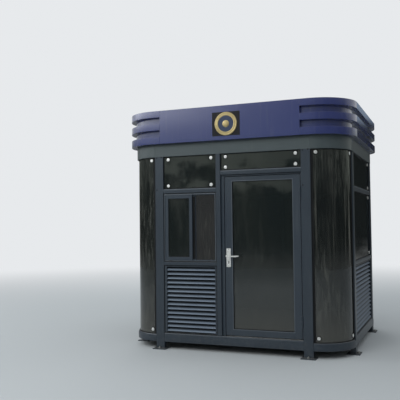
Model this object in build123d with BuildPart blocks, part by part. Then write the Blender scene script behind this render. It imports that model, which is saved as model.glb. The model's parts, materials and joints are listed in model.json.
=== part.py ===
from build123d import *
import os

os.makedirs("parts", exist_ok=True)

# Guard booth on eight legs, in millimetres.
# X runs along the front, Y to the back, Z up. The front faces -Y.
# The origin is on the ground, under the middle of the roof.

# Body outline
body_width = 2572.0
body_depth = 2350.0
corner_radius = 380.0
frame_depth = 60.0
seat_gap = 0.3

# Levels, stacked up from the ground
leg_height = 82.0
base_rail_height = 103.0
sill_slope_depth = 8.0
sill_slope_height = 20.0
ledge_drop = 20.0
header_height = 144.0

# Posts and foot plates
post_width = 100.0
post_wall = 4.0
foot_width = 160.0
foot_front = 45.0
foot_back = 35.0
foot_thickness = 10.0
anchor_radius = 7.0
anchor_edge = 22.0

# Floor
floor_thickness = 20.0
joist_width = 50.0
joist_height = 60.0
joist_count = 3
joist_pitch = 700.0

# Bays of the front and back walls
window_bay_width = 648.0
mullion_width = 53.0
dado_height = 770.0
mid_rail_height = 40.0
window_height = 781.0
transom_rail_height = 50.0
door_opening_height = 1779.0
door_light_height = 188.0

# Glass
glass_thickness = 10.0
glass_setback = 20.0

# Louvres and the lining behind them
louvre_setback = 8.0
louvre_depth = 40.0
louvre_stile = 30.0
louvre_top_rail = 28.0
louvre_bottom_rail = 19.0
slat_pitch = 48.0
slat_rise = 33.0
slat_run = 30.0
slat_thickness = 5.0
lining_thickness = 8.0

# Sliding window
window_face = 20.0
window_sill = 14.0
window_setback = 8.0
window_depth = 48.0
sash_thickness = 18.0
sash_gap = 3.0
sash_stile = 36.0
meeting_stile = 38.0
sash_rail = 40.0
sash_overlap = 60.0
window_open = 239.0
pane_thickness = 5.0

# Door
lock_jamb_width = 35.0
hinge_jamb_width = 12.0
jamb_setback = 25.0
head_height = 17.0
door_gap = 6.0
door_floor_gap = 8.0
leaf_setback = 30.0
leaf_thickness = 45.0
stile_width = 80.0
top_rail_height = 46.0
bottom_rail_height = 64.0
bead_width = 6.0
bead_thickness = 22.0
door_pane = 8.0
pane_bite = 4.0

# Hinges
hinge_count = 2
hinge_height = 110.0
hinge_end = 190.0
knuckle_radius = 8.0
hinge_pin_radius = 4.5
hinge_flap = 28.0
flap_thickness = 3.0
hinge_air = 2.0
pin_gap = 0.3

# Handle set
plate_width = 50.0
plate_height = 205.0
plate_thickness = 8.0
plate_corner = 3.0
handle_height = 1066.0
handle_above_middle = 20.0
neck_radius = 8.0
spindle_radius = 5.0
lever_reach = 125.0
lever_heel = 20.0
lever_out = 50.0
grip_thickness = 13.0
lever_drop = 5.0

# Fascia and roof
fascia_overhang = 65.0
fascia_sheet = 4.0
fascia_flange = 40.0
lower_rib = 81.0
middle_rib = 74.0
upper_rib = 75.0
groove_height = 76.0
groove_depth = 55.0
sign_margin = 91.0
ceiling_thickness = 12.0
deck_thickness = 20.0

# Levels and places that follow
half_width = body_width / 2
half_depth = body_depth / 2
centre_x = half_width - corner_radius
centre_y = half_depth - corner_radius
post_inner_x = centre_x - post_width
post_inner_y = centre_y - post_width
sill = leg_height + base_rail_height
corner_ledge = sill - ledge_drop
ledge_depth = glass_setback + glass_thickness + seat_gap
wall_height = door_opening_height + transom_rail_height + door_light_height
header_low = sill + wall_height
header_top = header_low + header_height
mid_rail_low = sill + dado_height
window_low = mid_rail_low + mid_rail_height
window_head = window_low + window_height
transom_top = window_head + transom_rail_height
door_head = sill + door_opening_height
door_transom_top = door_head + transom_rail_height
mullion_left = window_bay_width - post_inner_x
mullion_right = mullion_left + mullion_width
fascia_height = lower_rib + middle_rib + upper_rib + 2 * groove_height
fascia_top = header_top + fascia_height
sign_half_width = centre_x - sign_margin

corner_starts = {(1, 1): 0, (-1, 1): 90, (-1, -1): 180, (1, -1): 270}
front_corners = [(-1, -1), (1, -1)]
back_corners = [(-1, 1), (1, 1)]

# Each wall has a plane on its outer face: X along the wall, Y up, Z outwards.
front_wall = Plane(origin=(0, -half_depth, 0), x_dir=(1, 0, 0), z_dir=(0, -1, 0))
back_wall = Plane(origin=(0, half_depth, 0), x_dir=(-1, 0, 0), z_dir=(0, 1, 0))
left_wall = Plane(origin=(-half_width, 0, 0), x_dir=(0, -1, 0), z_dir=(-1, 0, 0))
right_wall = Plane(origin=(half_width, 0, 0), x_dir=(0, 1, 0), z_dir=(1, 0, 0))
side_walls = [left_wall, right_wall]

window_bay = (-post_inner_x, mullion_left)
door_bay = (mullion_right, post_inner_x)
side_bay = (-post_inner_y, post_inner_y)
back_bays = [(-post_inner_x, -mullion_width / 2), (mullion_width / 2, post_inner_x)]


def panel(left, right, low, high, mode=Mode.ADD):
    """Rectangle in a wall's elevation, given by its edges."""
    with Locations(((left + right) / 2, (low + high) / 2)):
        Rectangle(right - left, high - low, mode=mode)


def quarter_band(corner, outset, thickness):
    """Quarter ring at a corner of the body, its outer arc outset from the body line."""
    outer = corner_radius + outset
    centre = (corner[0] * centre_x, corner[1] * centre_y)
    with BuildSketch() as band:
        with BuildLine():
            outer_arc = CenterArc(centre, outer, corner_starts[corner], 90)
            inner_arc = CenterArc(centre, outer - thickness, corner_starts[corner], 90)
            Line(outer_arc @ 0, inner_arc @ 0)
            Line(outer_arc @ 1, inner_arc @ 1)
        make_face()
    return band.sketch


def rounded_outline(outset):
    """The body's plan outline, moved out by the outset."""
    with BuildSketch() as outline:
        RectangleRounded(
            body_width + 2 * outset, body_depth + 2 * outset, corner_radius + outset
        )
    return outline.sketch


def across(wall, along):
    """Plane across a wall at a place along it: X outwards, Y up."""
    outwards = wall.z_dir
    return Plane(
        origin=wall.origin + wall.x_dir * along,
        x_dir=outwards,
        z_dir=outwards.cross(Vector(0, 0, 1)),
    )


def turn_corner(section, corner):
    """Revolves a wall section through a corner of the body, as part of the open piece."""
    centre = Vector(corner[0] * centre_x, corner[1] * centre_y, 0)
    spoke = Vector(1, 0, 0).rotate(Axis.Z, corner_starts[corner])
    with BuildSketch(Plane(origin=centre, x_dir=spoke, z_dir=spoke.cross(Vector(0, 0, 1)))) as cut:
        with Locations((corner_radius, 0)):
            add(section)
    revolve(cut.sketch, axis=Axis(centre, (0, 0, 1)), revolution_arc=90)


def save(piece, name):
    """Labels a finished sub-part and writes it."""
    piece.part.label = name
    export_step(piece.part, f"parts/{name}.step")


def legs(wall, along):
    """Two hollow posts with a foot plate each, one at each end of a wall."""
    middle = along - post_width / 2
    foot_top = Plane(
        origin=wall.origin + Vector(0, 0, foot_thickness),
        x_dir=wall.x_dir,
        z_dir=(0, 0, 1),
    )
    with BuildPart() as posts:
        with BuildSketch(wall.offset(foot_front)):
            for side in (-1, 1):
                with Locations((side * middle, foot_thickness / 2)):
                    Rectangle(foot_width, foot_thickness)
        extrude(amount=-(foot_front + frame_depth + foot_back))
        with BuildSketch(foot_top):
            for side in (-1, 1):
                with Locations((side * middle, frame_depth / 2)):
                    Rectangle(post_width, frame_depth)
                    Rectangle(
                        post_width - 2 * post_wall,
                        frame_depth - 2 * post_wall,
                        mode=Mode.SUBTRACT,
                    )
        extrude(amount=header_low - foot_thickness)
        with BuildSketch(foot_top):
            for side in (-1, 1):
                with Locations((side * middle, anchor_edge - foot_front)):
                    Circle(anchor_radius)
        extrude(amount=-foot_thickness, mode=Mode.SUBTRACT)
    return posts


# Legs: two posts a wall, standing on their plates
for name, wall, along in (
    ("posts_front", front_wall, centre_x),
    ("posts_back", back_wall, centre_x),
    ("posts_left", left_wall, centre_y),
    ("posts_right", right_wall, centre_y),
):
    save(legs(wall, along), name)

# Base frame: straight rails between the posts, and a curved one at each corner.
# The rail's top edge slopes, to shed the rain from the sills.
with BuildSketch() as base_section:
    with BuildLine():
        Polyline(
            (-frame_depth, leg_height),
            (0, leg_height),
            (0, sill - sill_slope_height),
            (-sill_slope_depth, sill),
            (-frame_depth, sill),
            close=True,
        )
    make_face()

with BuildPart() as base_rails:
    for wall, reach in (
        (front_wall, post_inner_x),
        (back_wall, post_inner_x),
        (left_wall, post_inner_y),
        (right_wall, post_inner_y),
    ):
        with BuildSketch(across(wall, 0)):
            add(base_section.sketch)
        extrude(amount=reach, both=True)
save(base_rails, "base_rails")

# A corner rail has a lower ledge, where the curved glass stands in front of an upstand.
with BuildSketch() as corner_section:
    with BuildLine():
        Polyline(
            (-frame_depth, leg_height),
            (0, leg_height),
            (0, corner_ledge - sill_slope_height),
            (-sill_slope_depth, corner_ledge),
            (-ledge_depth, corner_ledge),
            (-ledge_depth, sill),
            (-frame_depth, sill),
            close=True,
        )
    make_face()

with BuildPart() as base_corners:
    for corner in corner_starts:
        turn_corner(corner_section.sketch, corner)
save(base_corners, "base_corners")

# Floor plate inside the base frame, on joists between the side rails
floor_low = sill - floor_thickness
with BuildPart() as floor_joists:
    with BuildSketch(Plane.XY.offset(floor_low - joist_height)):
        with GridLocations(0, joist_pitch, 1, joist_count):
            Rectangle(body_width - 2 * frame_depth, joist_width)
    extrude(amount=joist_height)
save(floor_joists, "floor_joists")

with BuildPart() as floor_panel:
    with BuildSketch(Plane.XY.offset(floor_low)):
        add(rounded_outline(-frame_depth - seat_gap))
    extrude(amount=floor_thickness)
save(floor_panel, "floor_panel")

# Header: a plain band round the top of the posts
with BuildPart() as header_rails:
    for wall, reach in (
        (front_wall, centre_x),
        (back_wall, centre_x),
        (left_wall, centre_y),
        (right_wall, centre_y),
    ):
        with BuildSketch(wall):
            panel(-reach, reach, header_low, header_top)
        extrude(amount=-frame_depth)
save(header_rails, "header_rails")

with BuildPart() as header_corners:
    with BuildSketch(Plane.XY.offset(header_low)):
        for corner in corner_starts:
            add(quarter_band(corner, 0, frame_depth))
    extrude(amount=header_height)
save(header_corners, "header_corners")

# Ceiling, on the bottom flange of the fascia
with BuildPart() as ceiling_panel:
    with BuildSketch(Plane.XY.offset(header_top + fascia_sheet)):
        add(rounded_outline(0))
    extrude(amount=ceiling_thickness)
save(ceiling_panel, "ceiling_panel")

# Fascia: folded sheet with two grooves between three ribs, open to the roof space.
# The section's X is outwards from the body line, and its Y is up.
lower_groove = header_top + lower_rib
upper_groove = lower_groove + groove_height + middle_rib
groove_floor = fascia_overhang - groove_depth


def fascia_section(grooves):
    """Sheet section of the fascia, with a groove at each of the given levels."""
    with BuildSketch() as hollow:
        panel(
            -2 * fascia_flange,
            fascia_overhang - fascia_sheet,
            header_top + fascia_sheet,
            fascia_top - fascia_sheet,
        )
        for low in grooves:
            panel(
                groove_floor - fascia_sheet,
                fascia_overhang,
                low - fascia_sheet,
                low + groove_height + fascia_sheet,
                Mode.SUBTRACT,
            )
    with BuildSketch() as section:
        panel(-fascia_flange, fascia_overhang, header_top, fascia_top)
        for low in grooves:
            panel(
                groove_floor,
                fascia_overhang,
                low,
                low + groove_height,
                Mode.SUBTRACT,
            )
        add(hollow.sketch, mode=Mode.SUBTRACT)
    return section.sketch


grooved = fascia_section([lower_groove, upper_groove])

for name, wall, reach in (
    ("fascia_back", back_wall, centre_x),
    ("fascia_left", left_wall, centre_y),
    ("fascia_right", right_wall, centre_y),
):
    with BuildPart() as fascia_side:
        with BuildSketch(across(wall, 0)):
            add(grooved)
        extrude(amount=reach, both=True)
    save(fascia_side, name)

# The sign stretch of the front is flat, with a closed end beside each groove.
with BuildPart() as fascia_front:
    with BuildSketch(across(front_wall, 0)):
        add(fascia_section([]))
    extrude(amount=sign_half_width, both=True)
    for side in (-1, 1):
        with BuildSketch(across(front_wall, side * (sign_half_width - fascia_sheet / 2))):
            panel(
                groove_floor - fascia_sheet,
                fascia_overhang,
                lower_groove,
                upper_groove + groove_height,
            )
        extrude(amount=fascia_sheet / 2, both=True)
save(fascia_front, "fascia_front")


def fascia_corners(corners, front_run):
    """Curved corners of the fascia, each with a straight run towards the front's middle."""
    with BuildPart() as pieces:
        for corner in corners:
            turn_corner(grooved, corner)
            if front_run > 0:
                middle = corner[0] * (centre_x - front_run / 2)
                with BuildSketch(across(front_wall, middle)):
                    add(grooved)
                extrude(amount=front_run / 2, both=True)
    return pieces


save(fascia_corners(front_corners, sign_margin), "fascia_corners_front")
save(fascia_corners(back_corners, 0), "fascia_corners_back")

# Roof deck, under the top flange of the fascia
with BuildPart() as roof_deck:
    with BuildSketch(Plane.XY.offset(fascia_top - fascia_sheet - deck_thickness)):
        add(rounded_outline(fascia_overhang - fascia_sheet - seat_gap))
    extrude(amount=deck_thickness)
save(roof_deck, "roof_deck")

# Upright between the window and the door, and one in the middle of the back
with BuildPart() as mullion_front:
    with BuildSketch(front_wall):
        panel(mullion_left, mullion_right, sill, header_low)
    extrude(amount=-frame_depth)
save(mullion_front, "mullion_front")

with BuildPart() as mullion_back:
    with BuildSketch(back_wall):
        panel(-mullion_width / 2, mullion_width / 2, sill, header_low)
    extrude(amount=-frame_depth)
save(mullion_back, "mullion_back")

# Rails across the bays: one over each window, one over the door, one under each window
with BuildPart() as transom_rails:
    with BuildSketch(front_wall):
        panel(*window_bay, window_head, transom_top)
        panel(*door_bay, door_head, door_transom_top)
    extrude(amount=-frame_depth)
    for wall in side_walls:
        with BuildSketch(wall):
            panel(*side_bay, window_head, transom_top)
        extrude(amount=-frame_depth)
    with BuildSketch(back_wall):
        for bay in back_bays:
            panel(*bay, window_head, transom_top)
    extrude(amount=-frame_depth)
save(transom_rails, "transom_rails")

with BuildPart() as mid_rails:
    with BuildSketch(front_wall):
        panel(*window_bay, mid_rail_low, window_low)
    extrude(amount=-frame_depth)
    for wall in side_walls:
        with BuildSketch(wall):
            panel(*side_bay, mid_rail_low, window_low)
        extrude(amount=-frame_depth)
    with BuildSketch(back_wall):
        for bay in back_bays:
            panel(*bay, mid_rail_low, window_low)
    extrude(amount=-frame_depth)
save(mid_rails, "mid_rails")


# Curved corner glass, from the base frame up to the header
def corner_glass(corners):
    """Bent panes, one at each of the given corners."""
    with BuildPart() as panes:
        with BuildSketch(Plane.XY.offset(corner_ledge)):
            for corner in corners:
                add(quarter_band(corner, -glass_setback, glass_thickness))
        extrude(amount=header_low - corner_ledge)
    return panes


save(corner_glass(front_corners), "corner_glass_front")
save(corner_glass(back_corners), "corner_glass_back")


# Flat fixed glass
def fixed_glass(places):
    """Panes set back from the wall faces, given as wall, bay, low and high."""
    with BuildPart() as panes:
        for wall, bay, low, high in places:
            with BuildSketch(wall.offset(-glass_setback)):
                panel(*bay, low, high)
            extrude(amount=-glass_thickness)
    return panes


save(
    fixed_glass(
        [
            (front_wall, window_bay, transom_top, header_low),
            (front_wall, door_bay, door_transom_top, header_low),
        ]
    ),
    "transom_glass_front",
)
save(
    fixed_glass([(wall, side_bay, transom_top, header_low) for wall in side_walls]),
    "transom_glass_sides",
)
save(
    fixed_glass([(back_wall, bay, transom_top, header_low) for bay in back_bays]),
    "transom_glass_back",
)
save(
    fixed_glass([(wall, side_bay, window_low, window_head) for wall in side_walls]),
    "window_glass_sides",
)
save(
    fixed_glass([(back_wall, bay, window_low, window_head) for bay in back_bays]),
    "window_glass_back",
)


# Louvres: sloping slats between two stiles, in a frame with a top and a bottom rail
def louvre(wall, bays):
    """One louvre panel in each bay of a wall."""
    slats_low = sill + louvre_bottom_rail
    slats_high = mid_rail_low - louvre_top_rail
    slat_count = int((slats_high - slats_low) // slat_pitch)
    slat_air = slat_pitch - slat_rise - slat_thickness
    inner_edge = -louvre_setback - (louvre_depth + slat_run) / 2
    outer_edge = inner_edge + slat_run
    with BuildPart() as panels:
        for left, right in bays:
            with BuildSketch(wall.offset(-louvre_setback)):
                panel(left, right, sill, mid_rail_low)
                panel(
                    left + louvre_stile,
                    right - louvre_stile,
                    slats_low,
                    slats_high,
                    Mode.SUBTRACT,
                )
            extrude(amount=-louvre_depth)
            with BuildSketch(across(wall, (left + right) / 2)):
                for row in range(slat_count):
                    top = slats_high - slat_air / 2 - row * slat_pitch
                    with BuildLine():
                        Polyline(
                            (inner_edge, top),
                            (outer_edge, top - slat_rise),
                            (outer_edge, top - slat_rise - slat_thickness),
                            (inner_edge, top - slat_thickness),
                            close=True,
                        )
                    make_face()
            extrude(amount=(right - left) / 2 - louvre_stile, both=True)
    return panels


save(louvre(front_wall, [window_bay]), "louvre_front")
save(louvre(left_wall, [side_bay]), "louvre_left")
save(louvre(right_wall, [side_bay]), "louvre_right")
save(louvre(back_wall, back_bays), "louvre_back")

# Inner lining behind every louvre, flush with the inside of the frame
with BuildPart() as wall_linings:
    for wall, bays in (
        (front_wall, [window_bay]),
        (left_wall, [side_bay]),
        (right_wall, [side_bay]),
        (back_wall, back_bays),
    ):
        with BuildSketch(wall.offset(-frame_depth)):
            for bay in bays:
                panel(*bay, sill, mid_rail_low)
        extrude(amount=lining_thickness)
save(wall_linings, "wall_linings")

# Sliding window: a frame, an outer sash on the left, and an inner sash that stands open,
# slid to the left behind the outer one
frame_left = window_bay[0] + window_face
frame_right = window_bay[1] - window_face
frame_low = window_low + window_sill
frame_high = window_head - window_face
sash_width = (frame_right - frame_left + sash_overlap) / 2 - seat_gap
outer_sash_left = frame_left + seat_gap
inner_sash_left = frame_right - seat_gap - window_open - sash_width
sash_low = frame_low + seat_gap
sash_high = frame_high - seat_gap
outer_sash_setback = window_setback + sash_gap
inner_sash_setback = outer_sash_setback + sash_thickness + sash_gap

with BuildPart() as window_frame:
    with BuildSketch(front_wall.offset(-window_setback)):
        panel(*window_bay, window_low, window_head)
        panel(frame_left, frame_right, frame_low, frame_high, Mode.SUBTRACT)
    extrude(amount=-window_depth)
save(window_frame, "window_frame")


outer_pane = (
    outer_sash_left + sash_stile,
    outer_sash_left + sash_width - meeting_stile,
    sash_low + sash_rail,
    sash_high - sash_rail,
)
inner_pane = (
    inner_sash_left + meeting_stile,
    inner_sash_left + sash_width - sash_stile,
    sash_low + sash_rail,
    sash_high - sash_rail,
)


def sash(left, pane, setback):
    """Sash frame round its pane."""
    with BuildPart() as frame:
        with BuildSketch(front_wall.offset(-setback)):
            panel(left, left + sash_width, sash_low, sash_high)
            panel(*pane, Mode.SUBTRACT)
        extrude(amount=-sash_thickness)
    return frame


save(sash(outer_sash_left, outer_pane, outer_sash_setback), "sash_outer")
save(sash(inner_sash_left, inner_pane, inner_sash_setback), "sash_inner")

with BuildPart() as sash_panes:
    for pane, setback in (
        (outer_pane, outer_sash_setback),
        (inner_pane, inner_sash_setback),
    ):
        with BuildSketch(front_wall.offset(-setback - (sash_thickness - pane_thickness) / 2)):
            panel(*pane)
        extrude(amount=-pane_thickness)
save(sash_panes, "sash_panes")

# Door frame: a wide jamb beside the lock, a narrow one beside the hinges, and a head
door_left = door_bay[0] + lock_jamb_width + door_gap
door_right = door_bay[1] - hinge_jamb_width - door_gap
door_low = sill + door_floor_gap
door_high = door_head - head_height - door_gap

with BuildPart() as door_frame:
    with BuildSketch(front_wall.offset(-jamb_setback)):
        panel(*door_bay, sill, door_head)
        panel(
            door_bay[0] + lock_jamb_width,
            door_bay[1] - hinge_jamb_width,
            sill,
            door_head - head_height,
            Mode.SUBTRACT,
        )
    extrude(amount=jamb_setback - frame_depth)
save(door_frame, "door_frame")

# Door leaf: stiles and rails with a glazing bead and a groove for the pane
opening = (
    door_left + stile_width,
    door_right - stile_width,
    door_low + bottom_rail_height,
    door_high - top_rail_height,
)
pane_hold = bead_width - pane_bite
leaf_middle = leaf_setback + leaf_thickness / 2
stile_centre = door_left + stile_width / 2
lever_place = (stile_centre, handle_height)


def inset_panel(inset, mode=Mode.ADD):
    """The leaf's opening, drawn in by an inset on every side."""
    left, right, low, high = opening
    panel(left + inset, right - inset, low + inset, high - inset, mode)


with BuildPart() as door_leaf:
    with BuildSketch(front_wall.offset(-leaf_setback)):
        panel(door_left, door_right, door_low, door_high)
        inset_panel(0, Mode.SUBTRACT)
    extrude(amount=-leaf_thickness)
    with BuildSketch(front_wall.offset(-leaf_middle)):
        inset_panel(0)
        inset_panel(bead_width, Mode.SUBTRACT)
    extrude(amount=bead_thickness / 2, both=True)
    with BuildSketch(front_wall.offset(-leaf_middle)):
        inset_panel(pane_hold - seat_gap)
    extrude(amount=door_pane / 2 + seat_gap, both=True, mode=Mode.SUBTRACT)
    with BuildSketch(front_wall.offset(-leaf_setback)):
        with Locations(lever_place):
            Circle(spindle_radius + pin_gap)
    extrude(amount=-leaf_thickness, mode=Mode.SUBTRACT)
save(door_leaf, "door_leaf")

with BuildPart() as door_glass:
    with BuildSketch(front_wall.offset(-leaf_middle)):
        inset_panel(pane_hold)
    extrude(amount=door_pane / 2, both=True)
save(door_glass, "door_glass")

# Hinges: the fixed half with its pin below, the swinging half with its knuckle above.
# The axis stands in the gap beside the leaf, in front of the jamb. The fixed flap covers
# the narrow jamb beside it, out to the post.
hinge_x = door_right + door_gap / 2
hinge_setback = jamb_setback - hinge_air - knuckle_radius
hinge_axis_y = hinge_setback - half_depth
hinge_span = door_high - door_low - 2 * hinge_end
hinge_lows = [
    door_low + hinge_end + row * hinge_span / (hinge_count - 1) - hinge_height / 2
    for row in range(hinge_count)
]
knuckle_height = (hinge_height - pin_gap) / 2

with BuildPart() as hinge_frame_halves:
    for low in hinge_lows:
        with BuildSketch(Plane.XY.offset(low)):
            with Locations((hinge_x, hinge_axis_y)):
                Circle(knuckle_radius)
            panel(
                hinge_x,
                hinge_x + knuckle_radius,
                hinge_axis_y,
                jamb_setback - half_depth,
            )
            panel(
                hinge_x,
                door_bay[1],
                jamb_setback - half_depth - flap_thickness,
                jamb_setback - half_depth,
            )
        extrude(amount=knuckle_height)
        with BuildSketch(Plane.XY.offset(low + knuckle_height)):
            with Locations((hinge_x, hinge_axis_y)):
                Circle(hinge_pin_radius)
        extrude(amount=knuckle_height)
save(hinge_frame_halves, "hinge_frame_halves")

with BuildPart() as hinge_leaf_halves:
    for low in hinge_lows:
        with BuildSketch(Plane.XY.offset(low + knuckle_height + pin_gap)):
            with Locations((hinge_x, hinge_axis_y)):
                Circle(knuckle_radius)
            panel(
                hinge_x - knuckle_radius,
                hinge_x,
                hinge_axis_y,
                leaf_setback - half_depth,
            )
            panel(
                hinge_x - hinge_flap,
                hinge_x,
                leaf_setback - half_depth - flap_thickness,
                leaf_setback - half_depth,
            )
            with Locations((hinge_x, hinge_axis_y)):
                Circle(hinge_pin_radius + pin_gap, mode=Mode.SUBTRACT)
        extrude(amount=knuckle_height)
save(hinge_leaf_halves, "hinge_leaf_halves")

# Handle set: a long plate on each face of the leaf, and one lever through both
plate_middle = handle_height - handle_above_middle
with BuildPart() as handle_plates:
    for setback, thickness in (
        (leaf_setback, plate_thickness),
        (leaf_setback + leaf_thickness, -plate_thickness),
    ):
        with BuildSketch(front_wall.offset(-setback)) as plate:
            with Locations((stile_centre, plate_middle)):
                Rectangle(plate_width, plate_height)
            chamfer(plate.vertices(), plate_corner)
            with Locations(lever_place):
                Circle(neck_radius + pin_gap, mode=Mode.SUBTRACT)
        extrude(amount=thickness)
save(handle_plates, "handle_plates")

# Lever: a round neck on each side, and a flat grip with a gentle wave, cut to its side outline
neck_reach = leaf_thickness / 2 + plate_thickness + lever_out
grip_radius = neck_radius + 1.0
tip_radius = grip_radius - lever_drop / 2


def grip_point(along, up):
    """Point of the grip's side outline, from the middle of the neck."""
    return (stile_centre + along, handle_height + up)


with BuildPart() as door_lever:
    with BuildSketch(front_wall.offset(-leaf_middle)):
        with Locations(lever_place):
            Circle(spindle_radius)
    extrude(amount=leaf_thickness / 2, both=True)
    for side in (1, -1):
        with BuildSketch(front_wall.offset(side * leaf_thickness / 2 - leaf_middle)):
            with Locations(lever_place):
                Circle(neck_radius)
        extrude(amount=side * (neck_reach - leaf_thickness / 2))
        with BuildSketch(front_wall.offset(side * neck_reach - leaf_middle)):
            with BuildLine():
                top = ThreePointArc(
                    grip_point(0, grip_radius),
                    grip_point(lever_reach / 2, grip_radius - lever_drop),
                    grip_point(lever_reach, tip_radius),
                )
                tip = ThreePointArc(
                    top @ 1,
                    grip_point(lever_reach + tip_radius, 0),
                    grip_point(lever_reach, -tip_radius),
                )
                under = ThreePointArc(
                    tip @ 1,
                    grip_point(lever_reach / 2, -grip_radius - lever_drop / 2),
                    grip_point(0, -grip_radius),
                )
                ThreePointArc(under @ 1, grip_point(-lever_heel, 0), top @ 0)
            make_face()
        extrude(amount=-side * grip_thickness)
save(door_lever, "door_lever")
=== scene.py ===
"""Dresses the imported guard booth: paint, glass, steel and small fittings, in a plain studio."""

import json
import logging
import math
from dataclasses import dataclass, field
from enum import Enum
from typing import Any, Callable, ClassVar, Iterable, Optional

import bmesh
import bpy
from mathutils import Matrix, Vector

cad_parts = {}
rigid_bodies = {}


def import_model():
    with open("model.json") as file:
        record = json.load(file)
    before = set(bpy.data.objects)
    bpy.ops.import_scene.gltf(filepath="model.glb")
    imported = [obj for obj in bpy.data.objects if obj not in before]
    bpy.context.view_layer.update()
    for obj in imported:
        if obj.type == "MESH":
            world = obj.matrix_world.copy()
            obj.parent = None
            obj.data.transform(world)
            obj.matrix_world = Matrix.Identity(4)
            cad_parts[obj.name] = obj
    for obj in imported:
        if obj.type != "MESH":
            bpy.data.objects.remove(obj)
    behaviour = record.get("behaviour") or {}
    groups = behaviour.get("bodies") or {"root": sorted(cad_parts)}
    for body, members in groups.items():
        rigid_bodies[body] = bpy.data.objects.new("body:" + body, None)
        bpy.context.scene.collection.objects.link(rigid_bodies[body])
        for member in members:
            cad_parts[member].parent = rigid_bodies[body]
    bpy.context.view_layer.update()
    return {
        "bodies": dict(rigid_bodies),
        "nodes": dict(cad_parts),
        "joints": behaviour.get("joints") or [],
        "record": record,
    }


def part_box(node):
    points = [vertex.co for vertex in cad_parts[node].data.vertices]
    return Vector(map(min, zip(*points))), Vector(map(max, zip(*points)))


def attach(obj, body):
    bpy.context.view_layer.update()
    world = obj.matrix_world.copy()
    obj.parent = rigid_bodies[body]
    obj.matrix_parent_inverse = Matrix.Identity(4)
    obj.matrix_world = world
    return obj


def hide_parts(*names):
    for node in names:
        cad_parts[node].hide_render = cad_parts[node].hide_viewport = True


log = logging.getLogger("guard_booth")

Color = tuple[float, float, float]
Span = tuple[float, float]
Outline = list[tuple[float, float]]
Point = Iterable[float]
Object = bpy.types.Object
Test = Callable[[Vector, Vector], bool]

# Metres that an added piece reaches into what carries it, and that a thin one does.
SUNK = 0.001
TOUCH = 0.0005

# Degrees above which an edge stays sharp.
SHARP = 35.0

# Turns a fitting that points up so that it points out of the front.
OUTWARD = Matrix.Rotation(math.radians(90.0), 4, "X")

# Sockets of a Mix node that mixes colours.
MIX_FACTOR, MIX_LOW, MIX_HIGH, MIX_RESULT = 0, 6, 7, 2


def shade(red: int, green: int, blue: int) -> Color:
    """Linear colour of a paint that reads as these screen values.

    Args:
        red: Red from 0 to 255.
        green: Green from 0 to 255.
        blue: Blue from 0 to 255.

    Returns:
        The colour in linear light.
    """

    def linear(level: int) -> float:
        """One channel in linear light."""
        part = level / 255
        return part / 12.92 if part <= 0.04045 else ((part + 0.055) / 1.055) ** 2.4

    return (linear(red), linear(green), linear(blue))


class Value:
    """A shader output that takes part in arithmetic and adds its Math nodes as it goes."""

    def __init__(self, shader: "Shader", output: bpy.types.NodeSocket) -> None:
        """Wraps an output of a shader's node."""
        self.shader = shader
        self.output = output

    def _math(self, operation: str, *operands: Any) -> "Value":
        """Adds one Math node over the operands."""
        return self.shader.node(
            "ShaderNodeMath", {"operation": operation}, dict(enumerate(operands))
        )

    def __add__(self, other: Any) -> "Value":
        """Sum."""
        return self._math("ADD", self, other)

    def __radd__(self, other: Any) -> "Value":
        """Sum with a number on the left."""
        return self._math("ADD", other, self)

    def __sub__(self, other: Any) -> "Value":
        """Difference."""
        return self._math("SUBTRACT", self, other)

    def __rsub__(self, other: Any) -> "Value":
        """Difference from a number."""
        return self._math("SUBTRACT", other, self)

    def __mul__(self, other: Any) -> "Value":
        """Product."""
        return self._math("MULTIPLY", self, other)

    def __rmul__(self, other: Any) -> "Value":
        """Product with a number on the left."""
        return self._math("MULTIPLY", other, self)

    def __abs__(self) -> "Value":
        """Its size without its sign."""
        return self._math("ABSOLUTE", self)

    def high(self, other: Any) -> "Value":
        """The larger of the two."""
        return self._math("MAXIMUM", self, other)

    def low(self, other: Any) -> "Value":
        """The smaller of the two."""
        return self._math("MINIMUM", self, other)

    def between(self, low: float, high: float) -> "Value":
        """Smooth mask from 0 at low to 1 at high.

        Args:
            low: Value that gives 0.
            high: Value that gives 1, which may be under low.

        Returns:
            The mask.
        """
        return self.shader.node(
            "ShaderNodeMapRange",
            {"interpolation_type": "SMOOTHSTEP"},
            {0: self, 1: low, 2: high, 3: 0.0, 4: 1.0},
        )


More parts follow.
